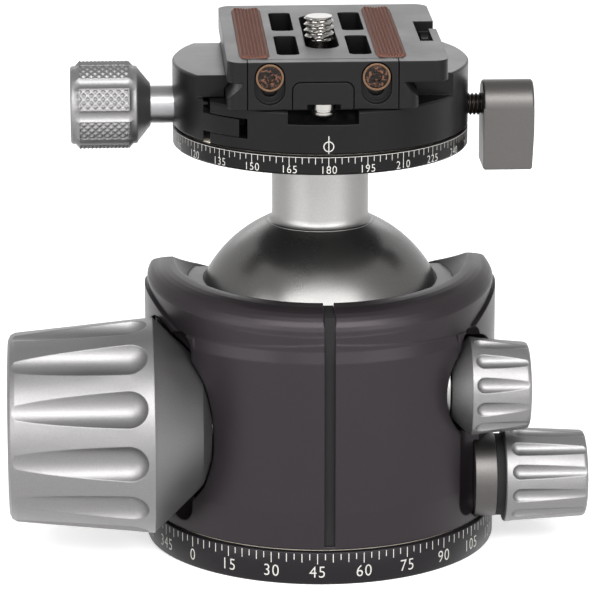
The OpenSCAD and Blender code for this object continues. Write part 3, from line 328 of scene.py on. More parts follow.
# The lever's screw: blackened in oil, with a brown shine on its crests.
blackened = turned_metal("blackened_steel", "#2a2523", 0.35, 0.8)
# The rims of the flange screws: a warm brown line round a dark face.
bronze = turned_metal("bronze_plated_steel", "#5c4839", 0.3)
# The shoes and the main lock's bush: yellow, and hidden when the head is whole.
brass = turned_metal("turned_brass", "#c9a557", 0.25)
print("five turned metals made")

# %% [markdown]
# ## Burnished bronze
# The faces of the two flange screws are plated dark and burnished, so the warm metal
# shows through in specks. Specks could be painted, but they would look pasted on from
# one side. A cloudy pattern with a steep step through its middle leaves small islands
# of one colour in the other, and follows the screw from every side.

# %% Burnished metal
SPECK_MM = 0.7


def burnished_metal(name, worn_hex, dark_hex, patch_mm):
    """A dark plating that is rubbed through to the warm metal in small patches."""
    material, tree, millimetres = start_material(name)
    patches = add_node(
        tree,
        "ShaderNodeTexNoise",
        None,
        {
            "Vector": millimetres,
            "Scale": 1 / patch_mm,
            "Detail": 3.0,
            "Distortion": 0.6,
        },
    )
    worn = add_node(
        tree,
        "ShaderNodeMapRange",
        None,
        {"Value": patches.outputs["Fac"], "From Min": 0.52, "From Max": 0.62},
    )
    colour = add_node(
        tree,
        "ShaderNodeMix",
        {"data_type": "RGBA"},
        {
            "Factor": worn.outputs["Result"],
            "A": linear(dark_hex),
            "B": linear(worn_hex),
        },
    )
    finish_material(
        tree,
        {
            "Base Color": colour.outputs["Result"],
            "Metallic": 0.8,
            "Roughness": 0.4,
        },
    )
    return material


burnished = burnished_metal("burnished_bronze", "#54392b", "#120f0e", SPECK_MM)
print("burnished bronze made")

# %% [markdown]
# ## Moulded rubber and bearing polymer
# The pads, the strip in the slit and the pan lock's washer are moulded rubber, and the
# washers that let the head turn are an ivory polymer. A mould leaves a fine grain. It
# could be modelled, but it is smaller than a pixel here. So it is drawn as a slight
# bump and a slight change of colour, just coarse enough to show, which gives the dull,
# even look of rubber.

# %% Moulded finishes
MOULDED_SHARE = 0.2
MOULDED_DEPTH_MM = 0.05
MOULDED_SPECULAR = 0.25


def moulded(name, hex_colour, roughness, grain_mm, strength):
    """Rubber, polymer or enamel with a fine grain."""
    material, tree, millimetres = start_material(name)
    darker, lighter = shades(hex_colour, MOULDED_SHARE)
    grain = add_node(
        tree,
        "ShaderNodeTexNoise",
        None,
        {"Vector": millimetres, "Scale": 1 / grain_mm, "Detail": 3.0, "Roughness": 0.6},
    ).outputs["Fac"]
    tint = add_node(
        tree,
        "ShaderNodeMix",
        {"data_type": "RGBA"},
        {"Factor": grain, "A": darker, "B": lighter},
    )
    bump = add_node(
        tree,
        "ShaderNodeBump",
        None,
        {"Height": grain, "Strength": strength, "Distance": MOULDED_DEPTH_MM * MM},
    )
    finish_material(
        tree,
        {
            "Base Color": tint.outputs["Result"],
            "Roughness": roughness,
            "Specular IOR Level": MOULDED_SPECULAR,
            "Normal": bump.outputs["Normal"],
        },
    )
    return material


# The strip and the washer: nearly black, with no highlight at all.
rubber = moulded("black_rubber", "#0b0b0b", 0.8, 0.4, 0.5)
# The pads: a dull red brown.
pad_rubber = moulded("brown_pad_rubber", "#58382e", 0.65, 0.25, 0.4)
# The bearing washers: ivory, a little waxy.
polymer = moulded("ivory_bearing_polymer", "#ddd6c5", 0.45, 0.6, 0.15)
print("three moulded finishes made")

# %% [markdown]
# ## Finishes on the CAD parts
# Each part's record names a slot, such as anodised black or brass. Materials could be
# put on part by part, but a table from slot to finish gives every part of one kind the
# same finish, and the pieces built below use it too.

# %% Finishes on the CAD parts
finishes = {
    "anodised_charcoal": charcoal,
    "anodised_black": black,
    # the plate's black is painted a little lighter, as light on its top
    "anodised_plate": lit_plate_black,
    "anodised_titanium": titanium,
    "silver_aluminium": silver,
    "ball_satin": ball_grey,
    "steel": steel,
    "blackened_steel": blackened,
    "chrome": nickel,
    "brass": brass,
    "bearing_polymer": polymer,
    "rubber_black": rubber,
    "rubber_brown": pad_rubber,
}
slot_of = {part["node"]: part["material_slot"] for part in frame["record"]["subparts"]}
for name, node in nodes.items():
    node.data.materials.clear()
    node.data.materials.append(finishes[slot_of[name]])
# The lever and the boss take the knobs' finish painted darker, as shade.
for shaded in ("pan_lever", "pan_lock_boss"):
    nodes[shaded].data.materials[0] = titanium_in_shade
print("finishes on", len(nodes), "CAD parts")

# %% [markdown]
# ## Pieces and swept profiles
# A piece built here rides on a body of the head and stands for a CAD part, which is
# then hidden. Edges sharper than a set angle stay crisp, and all others are shaded
# smooth. A turned part, such as the foot, could be a cylinder with bevels. A profile
# swept round an axis, as a lathe makes it, gives every groove and rounding in one go.

# %% Piece helper
def add_piece(name, points, faces, material, body, stands_for=(), sharp=35):
    """A named mesh that rides on a body, in place of the CAD parts it stands for."""
    mesh = bpy.data.meshes.new(name)
    mesh.from_pydata([tuple(p) for p in points], [], faces)
    mesh.update()
    shape = bmesh.new()
    shape.from_mesh(mesh)
    bmesh.ops.recalc_face_normals(shape, faces=shape.faces)
    shape.to_mesh(mesh)
    shape.free()
    mesh.materials.append(material)
    mesh.shade_smooth()
    mesh.set_sharp_from_angle(angle=math.radians(sharp))
    piece = bpy.data.objects.new(name, mesh)
    scene.collection.objects.link(piece)
    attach(piece, body)
    if stands_for:
        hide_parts(*stands_for)
    return piece


HAIR = 0.02 * MM  # how far a rebuilt face stays inside the CAD face it stands for
print("rebuilt faces stay", HAIR / MM, "mm inside")

# %% Sweep a profile
SWEEP_STEPS = 256


def sweep(profile, steps=SWEEP_STEPS):
    """Points and faces of a profile of (radius, height) swept round Z, in metres."""
    points, rings = [], []
    for radius, height in profile:
        if radius == 0:
            rings.append([len(points)] * steps)
            points.append((0, 0, height))
            continue
        rings.append(list(range(len(points), len(points) + steps)))
        for i in range(steps):
            angle = 2 * math.pi * i / steps
            points.append((radius * math.cos(angle), radius * math.sin(angle), height))
    faces = []
    for low, high in zip(rings, rings[1:]):
        for i in range(steps):
            j = (i + 1) % steps
            corners = [low[i], low[j], high[j], high[i]]
            faces.append([c for k, c in enumerate(corners) if c not in corners[:k]])
    return points, [face for face in faces if len(face) > 2]


print("a sweep has", SWEEP_STEPS, "steps")

# %% [markdown]
# ## The ring at the foot
# The foot is one turned part: a ring that will carry the pan scale, and above it a
# spigot that the housing turns on, dished on top to clear the ball. A pocket in its
# underside holds the steel bush with the tripod thread. The CAD ring has plain bevels,
# and facets that show on its outline. It could be smoothed, but a swept profile gives
# small roundings of a chosen size and an outline that stays round up close.

# %% Foot ring
SPIGOT_R = 21 * MM
DISH_GAP = 1 * MM
low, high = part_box("base_plate")
foot_r = high.x - HAIR
foot_scale_r = high.x
ring_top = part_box("pan_bearing_washer")[0].z
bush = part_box("tripod_thread_bush")[1]
pocket_r, pocket_top = bush.x + HAIR, bush.z + HAIR
ball_low, ball_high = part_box("ball")
ball_r = ball_high.x
ball_z = ball_low.z + ball_r


def on_sphere(radius, degrees):
    """A profile point on a sphere round the ball's centre, counted from its foot."""
    angle = math.radians(degrees)
    return radius * math.sin(angle), ball_z - radius * math.cos(angle)


dish = [on_sphere(ball_r + DISH_GAP, degrees) for degrees in range(0, 34, 3)]
profile = dish + [
    (SPIGOT_R, dish[-1][1]),
    (SPIGOT_R, ring_top),
    (foot_r - 0.45 * MM, ring_top),
    (foot_r - 0.15 * MM, ring_top - 0.12 * MM),
    (foot_r, ring_top - 0.4 * MM),
    (foot_r, 0.7 * MM),
    (foot_r - 0.2 * MM, 0.25 * MM),
    (foot_r - 0.7 * MM, 0),
    (pocket_r + 0.3 * MM, 0),
    (pocket_r, 0.3 * MM),
    (pocket_r, pocket_top),
    (0, pocket_top),
]
points, faces = sweep(profile)
# The foot ring's colour is the housing's dye painted darker as shade.
foot = add_piece(
    "scale_ring_foot", points, faces, charcoal_in_shade, "base", ["base_plate"]
)
print("foot ring radius", round(foot_r / MM, 2), "mm")

# %% [markdown]
# ## Degree scales
# Both rings carry a full circle of degrees: a short line each 2.5 degrees, a longer one
# each 5, and the longest each 15 with its number. They are engraved and filled with
# white enamel, wiped flush, so they catch no light of their own and look slightly grey.
# Grooves could be cut into the ring, but filled ones show no depth. So each line is
# drawn flat and wrapped round the ring as a thin mark. A number starts as a text
# object, which is turned into a mesh and wrapped the same way.

# %% Scale enamel and figures
FIGURE_SHARE = 0.7  # a figure's height as a share of the font's size
FIGURE_NARROWING, FIGURE_SPACING, FIGURE_THINNING = 0.92, 1.12, 0.008
paint = moulded("white_scale_enamel", "#a3a19d", 0.6, 0.2, 0.1)


def wrapped(flat, radius, angle):
    """Flat points (x across, y up) bent round Z. Angle 0 is in front, right is more."""
    bent = []
    for x, y in flat:
        a = angle + x / radius
        bent.append((radius * math.sin(a), -radius * math.cos(a), y))
    return bent


def digits(text, height):
    """A number's flat points and faces, centred on x and standing on y = 0."""
    curve = bpy.data.curves.new("number", "FONT")
    curve.body = text
    curve.align_x = "CENTER"
    curve.size = height / FIGURE_SHARE
    curve.space_character = FIGURE_SPACING
    curve.offset = -FIGURE_THINNING * height
    curve.resolution_u = 4
    holder = bpy.data.objects.new("number", curve)
    scene.collection.objects.link(holder)
    bpy.context.view_layer.update()
    mesh = bpy.data.meshes.new_from_object(holder)
    points = [(FIGURE_NARROWING * v.co.x, v.co.y) for v in mesh.vertices]
    faces = [list(p.vertices) for p in mesh.polygons]
    bpy.data.objects.remove(holder)
    bpy.data.curves.remove(curve)
    bpy.data.meshes.remove(mesh)
    return points, faces


print("a 0 has", len(digits("0", 2.5 * MM)[0]), "points")

# %% Foot scale
LINE_STEP, LONGER_STEP, NUMBER_STEP = 2.5, 5, 15


def degree_scale(name, body, radius, top, lengths, line, number_z, number_h, zero_at):
    """Lines and numbers round a ring, with 0 at the angle zero_at, in degrees.

    lengths holds the short, the longer and the longest line, which hang from top.
    """
    points, faces = [], []

    def put(flat, flat_faces, degrees, lift):
        """Wraps one mark round the ring and adds it to the rest."""
        start = len(points)
        raised = [(x, y + lift) for x, y in flat]
        points.extend(wrapped(raised, radius, math.radians(degrees)))
        faces.extend([[start + i for i in face] for face in flat_faces])

    for step in range(round(360 / LINE_STEP)):
        degrees = step * LINE_STEP
        numbered = degrees % NUMBER_STEP == 0
        kind = 2 if numbered else 1 if degrees % LONGER_STEP == 0 else 0
        low, half = -lengths[kind], line / 2
        box = [(-half, low), (half, low), (half, 0), (-half, 0)]
        put(box, [[0, 1, 2, 3]], degrees + zero_at, top)
        if numbered:
            flat, flat_faces = digits(str(int(degrees)), number_h)
            put(flat, flat_faces, degrees + zero_at, number_z)
    add_piece(name, points, faces, paint, body)


degree_scale(
    "foot_scale",
    "base",
    radius=foot_scale_r,
    top=ring_top - 0.35 * MM,
    lengths=[1.3 * MM, 1.85 * MM, 2.2 * MM],
    line=0.19 * MM,
    number_z=1.75 * MM,
    number_h=2.5 * MM,
    zero_at=-48.9,
)
print("scale lines each", LINE_STEP, "degrees")

# %% [markdown]
# ## The scale ring under the clamp
# The upper ring turns with the ball, and the clamp above it turns on it, so its scale
# reads the second pan. It is thinner, with a finely engraved line along its upper edge.
# The CAD ring could be kept, but its facets would show on so thin an edge. So it is
# swept like the foot: a flat band with two broken edges.

# %% Upper scale ring
low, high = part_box("top_scale_ring")
hole = 6.15 * MM
edge = 0.3 * MM
rim = high.x - HAIR
profile = [
    (hole, low.z),
    (rim - edge, low.z),
    (rim, low.z + edge),
    (rim, high.z - edge),
    (rim - edge, high.z),
    (hole, high.z),
    (hole, low.z),
]
points, faces = sweep(profile)
add_piece("upper_scale_ring", points, faces, black, "ball", ["top_scale_ring"])
line_low, line_high = high.z - 0.32 * MM, high.z - 0.22 * MM
degree_scale(
    "upper_scale",
    "ball",
    radius=high.x,
    top=line_low,
    lengths=[1.05 * MM, 1.35 * MM, 2.0 * MM],
    line=0.14 * MM,
    number_z=low.z + 0.35 * MM,
    number_h=1.62 * MM,
    zero_at=-180,
)
points, faces = sweep([(high.x, line_low), (high.x, line_high)])
add_piece("upper_scale_line", points, faces, paint, "ball")
print("upper ring radius", round(high.x / MM, 2), "mm")

# %% [markdown]
# ## The ball and its neck
# The ball is turned and ground, and the silver neck is screwed into it. Blender has a
# ready-made sphere, but a coarse one shows corners in its soft highlights, and it has
# no flat seat for the neck. So both are swept from many rows. A small fillet joins the
# neck's flared foot to the ball.

# %% Ball
BALL_ROWS = 120
NECK_R = 10.1 * MM
seat_angle = math.degrees(math.asin(NECK_R / ball_r))
profile = [on_sphere(ball_r, a) for a in np.linspace(0, 180 - seat_angle, BALL_ROWS)]
profile.append((0, ball_z + ball_r * math.cos(math.radians(seat_angle))))
points, faces = sweep(profile)
add_piece("satin_ball", points, faces, ball_grey, "ball", ["ball"])
print("ball radius", round(ball_r / MM, 2), "mm")

# %% Neck
FLARE = 1.3 * MM
FILLET_TOP, FILLET_HEIGHT = 1.4 * MM, 1.9 * MM
neck_low, neck_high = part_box("neck")
seat_z = ball_z + math.sqrt(ball_r**2 - NECK_R**2)
profile = [(0, neck_low.z), (NECK_R + FLARE, seat_z - FLARE * 0.42)]
for degrees in (90, 78, 66, 54, 42, 30, 18, 0):
    angle = math.radians(degrees)
    out = FLARE * (1 - math.cos(angle))
    height = seat_z + FILLET_TOP - FILLET_HEIGHT * math.sin(angle)
    profile.append((NECK_R + out, height))
profile += [
    (NECK_R, neck_high.z - 0.35 * MM),
    (NECK_R - 0.3 * MM, neck_high.z),
    (0, neck_high.z),
]
points, faces = sweep(profile)
add_piece("silver_neck", points, faces, silver, "ball", ["neck"])
print("neck radius", round(NECK_R / MM, 2), "mm")

# %% [markdown]
# ## The clamp knob
# Eight pads of fine diamond knurling stand round the knob, parted by smooth flutes,
# between two plain rims. A cone leads to its smooth silver shaft. A knurl is often
# faked with a bump pattern, but here it breaks the knob's outline and would look flat
# from the side. So it is real geometry: two sets of crossing grooves, 1.6 mm apart,
# leave a small pyramid at each crossing. The radius now changes with the angle, so the
# knob is built from rows of points with a radius for each angle.

# %% Turn rows of points
def turned(rows, steps, place):
    """Points and faces of rows of (height, radius), closed at both ends.

    A radius is a number or a function of the angle. place takes a point's x, y and
    height on the axis of turning, and returns where it belongs on the head.
    """
    points, faces = [], []
    for height, radius in rows:
        for i in range(steps):
            angle = 2 * math.pi * i / steps
            r = radius(angle) if callable(radius) else radius
            points.append(place(r * math.cos(angle), r * math.sin(angle), height))
    for j in range(len(rows) - 1):
        low, high = j * steps, (j + 1) * steps
        for i in range(steps):
            k = (i + 1) % steps
            faces.append((low + i, low + k, high + k, high + i))
    for start, height in ((0, rows[0][0]), ((len(rows) - 1) * steps, rows[-1][0])):
        points.append(place(0, 0, height))
        centre = len(points) - 1
        faces.extend((start + i, start + (i + 1) % steps, centre) for i in range(steps))
    return points, faces


print("rows of points can be turned")

# %% Knurl and flutes
PAD_R, PADS = 9.18 * MM, 8
FLUTE_R, FLUTE_OUT, FLUTE_PHASE = 2.0 * MM, 10.55 * MM, math.radians(25.6)
KNURLS, KNURL_PITCH, KNURL_DEPTH = 36, 1.6 * MM, 0.42 * MM


def tooth(value):
    """A wave of straight slopes: 0 at whole numbers and 1 halfway."""
    return 1 - abs(2 * (value % 1) - 1)


def knob_radius(plain, height):
    """The radius at each angle: a pad of a plain radius, its knurl, or a flute."""

    def radius(angle):
        step = 2 * math.pi / PADS
        off = (angle - FLUTE_PHASE) % step - step / 2
        side = FLUTE_OUT * math.sin(off)
        flute = plain
        if abs(side) < FLUTE_R:
            flute = FLUTE_OUT * math.cos(off) - math.sqrt(FLUTE_R**2 - side**2)
        if plain < PAD_R or flute < plain:
            return min(plain, flute)
        turn = angle / (2 * math.pi) * KNURLS
        along = height / KNURL_PITCH
        return plain - KNURL_DEPTH * (1 - min(tooth(turn + along), tooth(turn - along)))

    return radius


print("a knurl is", round(2 * math.pi * PAD_R / KNURLS / MM, 2), "mm wide")

# %% Clamp knob
KNOB_LEN, CONE_LEN = 14.0 * MM, 2.6 * MM
RIM_R, SHAFT_R = 8.1 * MM, 4.4 * MM
KNURL_ROWS = 84
KNOB_STEPS, KNOB_SHARP = 520, 50
low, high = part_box("clamp_knob")
grip_x = low.x + KNOB_LEN
knob_axis_z = (low.z + high.z) / 2


def at_clamp_knob(x, y, height):
    """The height runs to the left, from the knob's inner face."""
    return (grip_x - height, y, knob_axis_z - x)


pad_end = knob_radius(PAD_R - 0.05 * MM, 0)
knurled = [(h, knob_radius(PAD_R, h)) for h in np.linspace(2.0, 12.0, KNURL_ROWS) * MM]
rows = [
    (-CONE_LEN, SHAFT_R),
    (0, RIM_R - 0.5 * MM),
    (0.15 * MM, RIM_R - 0.15 * MM),
    (0.5 * MM, RIM_R),
    (1.0 * MM, RIM_R),
    (1.9 * MM, pad_end),
    *knurled,
    (12.1 * MM, pad_end),
    (13.0 * MM, RIM_R),
    (13.5 * MM, RIM_R),
    (13.85 * MM, RIM_R - 0.15 * MM),
    (14.0 * MM, RIM_R - 0.5 * MM),
]
points, faces = turned(rows, KNOB_STEPS, at_clamp_knob)
knob, rides_on = "knurled_clamp_knob", "clamp_knob"
add_piece(knob, points, faces, titanium, rides_on, ["clamp_knob"], KNOB_SHARP)
print("clamp knob", len(faces), "faces")

# %% [markdown]
# ## Screw threads
# The camera screw is a quarter inch wide with 20 turns to the inch, so its pitch is
# 1.27 mm, and about three turns stand above the plate. The lever's screw is finer. A
# stack of rings would look like a thread from far off, but a real one climbs. So each
# row's radius follows a wave that turns with the height. The camera screw keeps the
# head of its CAD part, with the key slot.

# %% Thread rows
LEAD_IN = 0.7  # a lead-in's length as a share of the thread's depth


def thread_rows(start, end, crest, depth, pitch, per_turn=10):
    """Rows of a screw thread with sharp crests, flat roots and a lead-in at its end."""
    rows = []
    count = int((end - start) / pitch * per_turn)
    for j in range(count + 1):
        height = start + (end - start) * j / count
        lead = max(0.0, height - (end - LEAD_IN * depth))

        def radius(angle, height=height, lead=lead):
            wave = ((height - start) / pitch - angle / (2 * math.pi)) % 1
            # 0 on the crest and 1 along the flat root, with a straight flank between
            cut = min(1, max(0, 1.25 - 2.5 * abs(wave - 0.5)))
            return crest - max(depth * cut, lead)

        rows.append((height, radius))
    return rows


def upright(x, y, z=0):
    """A place for turned(): it stands on (x, y, z), and the height goes up."""
    return lambda px, py, height: (x + px, y + py, z + height)


print("threads can be cut")

# %% Camera screw
CAMERA_SCREW_STEPS = 72
CORE_R = 2.6 * MM
CREST_R, THREAD_DEPTH, THREAD_PITCH = 3.17 * MM, 0.62 * MM, 1.27 * MM
low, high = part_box("camera_screw")
plate_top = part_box("plate")[1].z
thread_low = plate_top - 1.2 * MM
rows = [
    (low.z + 2.1 * MM, CORE_R),
    (plate_top - 1.6 * MM, CORE_R),
    *thread_rows(thread_low, high.z, CREST_R, THREAD_DEPTH, THREAD_PITCH),
]
stand = upright((low.x + high.x) / 2, (low.y + high.y) / 2)
points, faces = turned(rows, CAMERA_SCREW_STEPS, stand)
head = bmesh.new()
head.from_mesh(nodes["camera_screw"].data)
above = [v for v in head.verts if v.co.z > plate_top - 2 * MM]
bmesh.ops.delete(head, geom=above, context="VERTS")
head.verts.ensure_lookup_table()
start = len(points)
points += [tuple(v.co) for v in head.verts]
faces += [tuple(start + v.index for v in f.verts) for f in head.faces]
head.free()
add_piece(
    "camera_screw_thread", points, faces, nickel, "camera_screw", ["camera_screw"]
)
turns = (high.z - plate_top) / THREAD_PITCH
print("camera screw stands", round(turns, 1), "turns above the plate")

# %% Lever screw
LEVER_SCREW_STEPS, LEVER_PER_TURN = 48, 8
NOSE_LEN, NOSE_R = 1.8 * MM, 1.2 * MM
LEVER_DEPTH, LEVER_PITCH = 0.42 * MM, 0.8 * MM
low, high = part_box("pan_lever_screw")
lever_axis_z = (low.z + high.z) / 2
nose_x = low.x + NOSE_LEN


def at_lever_screw(x, y, height):
    """The height is X itself: the screw lies to the right of the neck."""
    return (height, y, lever_axis_z + x)


rows = [
    (low.x, NOSE_R),
    (nose_x, NOSE_R),
    *thread_rows(nose_x, high.x, high.y, LEVER_DEPTH, LEVER_PITCH, LEVER_PER_TURN),
]
points, faces = turned(rows, LEVER_SCREW_STEPS, at_lever_screw)
add_piece("lever_screw_thread", points, faces, blackened, "lever", ["pan_lever_screw"])
print("lever screw", round((high.x - nose_x) / LEVER_PITCH, 1), "turns long")

# %% [markdown]
# ## Flange screws
# The two low screws that hold the anti-twist flange are bronze, burnished dark on the
# face. Each has a warm raised rim round its dished face, and a small hexagon socket.
# The socket could be cut with a boolean, but a row whose radius follows a hexagon makes
# it in the same turned mesh. The rim is a piece of its own, because it has its own
# finish.

# %% Flange screws
HEAD_R, HEAD_H, STEM_R = 2.9 * MM, 1.6 * MM, 1.5 * MM
SOCKET_R, SOCKET_DEPTH, FACE_DEPTH = 1.2 * MM, 1.0 * MM, 0.3 * MM
FLANGE_SCREW_STEPS = 96
low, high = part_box("flange_screws")
middle_z = (low.z + high.z) / 2


def socket(angle):
    """The radius of a hexagon at each angle."""
    side = angle % (math.pi / 3) - math.pi / 6
    return SOCKET_R * math.cos(math.pi / 6) / math.cos(side)


rows = [
    (high.y - low.y, STEM_R),
    (HEAD_H, STEM_R),
    (HEAD_H, HEAD_R),
    (0.3 * MM, HEAD_R),
    (0.1 * MM, HEAD_R - 0.1 * MM),
    (0.02 * MM, HEAD_R - 0.3 * MM),
    (0.1 * MM, HEAD_R - 0.5 * MM),
    (0.35 * MM, HEAD_R - 0.65 * MM),
    (FACE_DEPTH, STEM_R),
    (FACE_DEPTH, socket),
    (SOCKET_DEPTH, socket),
]
band = [
    (HEAD_R - 0.6 * MM, 0.2 * MM),
    (HEAD_R - 0.5 * MM, 0.06 * MM),
    (HEAD_R - 0.3 * MM, 0.0),
    (HEAD_R - 0.1 * MM, 0.06 * MM),
    (HEAD_R - 0.02 * MM, 0.25 * MM),
]
for side, x in (("left", low.x + HEAD_R), ("right", high.x - HEAD_R)):

    def at_screw(px, py, height, x=x):
        """The height runs to the back, from the screw's face."""
        return (x + px, low.y + height, middle_z + py)

    points, faces = turned(rows, FLANGE_SCREW_STEPS, at_screw)
    screw = "flange_screw_" + side
    add_piece(screw, points, faces, burnished, "plate", ["flange_screws"])
    points, faces = sweep(band, FLANGE_SCREW_STEPS)
    points = [at_screw(*p) for p in points]
    add_piece("bronze_rim_" + side, points, faces, bronze, "plate")
print("flange screws turned")

# %% [markdown]
# ## Stop screws
# A bright plated screw hangs under each end of the plate and keeps it from sliding out
# of the clamp. Its head is a drum with a groove round it and a domed face. In the CAD
# it is a plain bevelled drum, which would mirror one even patch. The groove and the
# dome break that reflection into bright lines, so they are turned as rows.

# %% Stop screws
DRUM_H, GROOVE_DEPTH = 3.0 * MM, 0.3 * MM
STOP_STEM_R = 1.3 * MM
STOP_SCREW_STEPS = 64
low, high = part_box("plate_stop_screws")
drum_r = (high.x - low.x) / 2
rows = [
    (0, 0.4 * drum_r),
    (0.08 * MM, 0.72 * drum_r),
    (0.3 * MM, 0.9 * drum_r),
    (0.6 * MM, 0.98 * drum_r),
    (0.9 * MM, drum_r),
    (1.25 * MM, drum_r),
    (1.35 * MM, drum_r - GROOVE_DEPTH),
    (1.7 * MM, drum_r - GROOVE_DEPTH),
    (1.8 * MM, drum_r),
    (DRUM_H, drum_r),
    (DRUM_H, STOP_STEM_R),
    (high.z - low.z, STOP_STEM_R),
]
for side, y in (("front", low.y + drum_r), ("back", high.y - drum_r)):
    stand = upright((low.x + high.x) / 2, y, low.z)
    points, faces = turned(rows, STOP_SCREW_STEPS, stand)
    screw = "stop_screw_" + side
    add_piece(screw, points, faces, nickel, "plate", ["plate_stop_screws"])
print("stop screws turned")

# %% [markdown]
# ## Ribbed pads
# Two moulded rubber pads keep the camera from turning on the plate. Eight fine ribs run
# along each pad and waver a little, as moulded grip strips do, and the corners are
# round. The ribs could be a bump pattern, but they catch the light one by one and break
# the pad's edge. So the pad is a fine grid whose height follows the ribs.

# %% Ribbed pads
RIBS, RIB_DEPTH, RIB_SHARPNESS = 8, 0.48 * MM, 1.6
WAVER, WAVER_LENGTH = 0.14, 2.6 * MM
PAD_CORNER, PAD_INSET, PAD_SHARP = 1.6 * MM, 0.03 * MM, 60
across, along = RIBS * 8, 200
for side in ("left", "right"):
    low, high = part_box("plate_pad_" + side)
    half_w = (high.x - low.x) / 2 - PAD_INSET
    half_l = (high.y - low.y) / 2 - PAD_INSET
    mid_x, mid_y = (low.x + high.x) / 2, (low.y + high.y) / 2
    points, faces = [], []
    for j in range(along + 1):
        y = half_l * (2 * j / along - 1)
        over = max(0.0, abs(y) - (half_l - PAD_CORNER))
        w = half_w - PAD_CORNER + math.sqrt(max(0, PAD_CORNER**2 - over**2))
        waver = WAVER * math.sin(2 * math.pi * y / WAVER_LENGTH)
        for i in range(-1, across + 2):
            s = min(across, max(0, i)) / across
            phase = RIBS * s + waver * math.sin(math.pi * s)
            dip = abs(math.cos(math.pi * phase)) ** RIB_SHARPNESS
            top = high.z - RIB_DEPTH * dip
            if i in (-1, across + 1) or j in (0, along):
                top = low.z
            points.append((mid_x + w * (2 * s - 1), mid_y + y, top))
    row = across + 3
    for j in range(along):
        for i in range(row - 1):
            a = j * row + i
            faces.append((a, a + 1, a + row + 1, a + row))
    pad = "ribbed_pad_" + side
    stands_for = ["plate_pad_" + side]
    add_piece(pad, points, faces, pad_rubber, "plate", stands_for, PAD_SHARP)
print("pads moulded")

# %% [markdown]
# ## The clamp's index mark
# A white line and a small circle on the clamp's front show where the upper scale is
# read. They are engraved and filled like the scales, so they are made the same way: a
# flat drawing wrapped round the clamp's side.

# %% Index mark
CIRCLE_STEPS, CIRCLE_R, LINE_HALF = 48, 1.0 * MM, 0.1 * MM
clamp_low, clamp_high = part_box("clamp_body")
clamp_r = clamp_high.y + 0.01 * MM
mark_z = clamp_low.z + 1.75 * MM
line_low, line_high = clamp_low.z + 0.2 * MM, clamp_low.z + 3.9 * MM
flat, faces = [], []
for i in range(CIRCLE_STEPS):
    angle = 2 * math.pi * i / CIRCLE_STEPS
    for r in (CIRCLE_R - LINE_HALF, CIRCLE_R + LINE_HALF):
        flat.append((r * math.cos(angle), mark_z + r * math.sin(angle)))
    a, b = 2 * i, 2 * ((i + 1) % CIRCLE_STEPS)
    faces.append((a, a + 1, b + 1, b))
start = len(flat)
flat += [
    (-LINE_HALF, line_low),
    (LINE_HALF, line_low),
    (LINE_HALF, line_high),
    (-LINE_HALF, line_high),
]
faces.append((start, start + 1, start + 2, start + 3))
points = wrapped(flat, clamp_r, 0)
add_piece("clamp_index_mark", points, faces, paint, "clamp")
print("index mark at", round(mark_z / MM, 2), "mm")

# %% [markdown]
# ## Soft boxes
# Polished and satin metal is mostly a picture of its lamps. Bare lamps would give hard
# points of light, so a studio uses wide soft boxes. One high in front draws the band
# of light on the ball and the knobs. Two square ones at the left and right fill the
# sides, a low one lights the housing's front, and one behind lights the top faces.

# %% Soft boxes
LAMP_TARGET = (0, 0, 0.06)
LAMPS = (  # name, place in metres, width and height in metres, power in watts
    ("left_box", (-0.95, -0.75, 0.42), 0.9, 0.9, 10),
    ("right_box", (0.8, -0.95, 0.42), 0.8, 0.9, 8),
    ("front_box", (0.0, -1.05, 0.92), 1.7, 0.7, 36),
    ("low_box", (0.0, -1.4, 0.25), 0.9, 0.3, 3),
    ("back_box", (0.0, 1.3, 0.5), 1.2, 0.4, 1.8),
)
for name, at, width, height, power in LAMPS:
    lamp = bpy.data.lights.new(name, "AREA")
    lamp.shape = "RECTANGLE"
    lamp.size = width
    lamp.size_y = height
    lamp.energy = power
    holder = bpy.data.objects.new(name, lamp)
    scene.collection.objects.link(holder)
    holder.location = at
    toward = Vector(LAMP_TARGET) - Vector(at)
    holder.rotation_euler = toward.to_track_quat("-Z", "Y").to_euler()
print(len(LAMPS), "soft boxes lit")

# %% [markdown]
# ## White paper
# The head stands on a white table in front of white paper. Lighting the paper until it
# is white would also wash out the head. So the paper is plain white only to the camera
# and in reflections, which the Light Path node can tell apart, and it sheds almost no
# light on the head. The table glows the same way, and keeps the head's shadow.

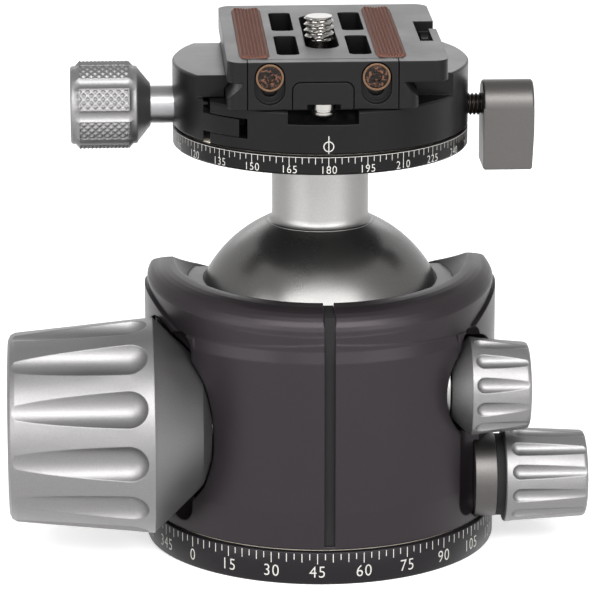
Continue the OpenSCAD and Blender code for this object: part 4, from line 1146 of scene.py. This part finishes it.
# %% Paper for the rays that show it
def paper_rays(tree):
    """1 for the rays that show the white paper: camera, glossy and transmission."""
    ray = add_node(tree, "ShaderNodeLightPath")
    shown = ray.outputs["Is Camera Ray"]
    for other in ("Is Glossy Ray", "Is Transmission Ray"):
        shown = add_node(
            tree,
            "ShaderNodeMath",
            {"operation": "MAXIMUM"},
            {0: shown, 1: ray.outputs[other]},
        ).outputs[0]
    return shown


def end_by_ray(tree, output, unseen, seen):
    """Ends a tree with one shader for the paper's rays and one for all others."""
    mixed = add_node(
        tree,
        "ShaderNodeMixShader",
        None,
        {0: paper_rays(tree), 1: unseen.outputs[0], 2: seen.outputs[0]},
    )
    add_node(tree, output, None, {"Surface": mixed.outputs[0]})


print("paper rays ready")

# %% Background
AMBIENT, PAPER = 0.06, 1.0
WHITE = (1, 1, 1, 1)
world = bpy.data.worlds.new("white_paper")
scene.world = world
world.use_nodes = True
sky = world.node_tree
sky.nodes.clear()
ambient = add_node(
    sky, "ShaderNodeBackground", None, {"Color": WHITE, "Strength": AMBIENT}
)
paper = add_node(
    sky, "ShaderNodeBackground", None, {"Color": WHITE, "Strength": PAPER}
)
end_by_ray(sky, "ShaderNodeOutputWorld", ambient, paper)
print("background set")

# %% Table
TABLE_HALF = 3.0
TABLE_GREY, TABLE_GLOW = (0.8, 0.8, 0.8, 1), 0.62
table_paper = bpy.data.materials.new("white_table_paper")
table_paper.use_nodes = True
tree = table_paper.node_tree
tree.nodes.clear()
shade = add_node(
    tree, "ShaderNodeBsdfDiffuse", None, {"Color": TABLE_GREY, "Roughness": 0.0}
)
glow = add_node(
    tree, "ShaderNodeEmission", None, {"Color": WHITE, "Strength": TABLE_GLOW}
)
lit = add_node(
    tree, "ShaderNodeAddShader", None, {0: shade.outputs[0], 1: glow.outputs[0]}
)
end_by_ray(tree, "ShaderNodeOutputMaterial", shade, lit)

table_mesh = bpy.data.meshes.new("table")
corners = [(-1, -1), (1, -1), (1, 1), (-1, 1)]
table_mesh.from_pydata(
    [(TABLE_HALF * x, TABLE_HALF * y, 0) for x, y in corners], [], [(0, 1, 2, 3)]
)
table_mesh.materials.append(table_paper)
table = bpy.data.objects.new("table", table_mesh)
scene.collection.objects.link(table)
scene.view_settings.view_transform = "Standard"
print("table", 2 * TABLE_HALF, "m wide")
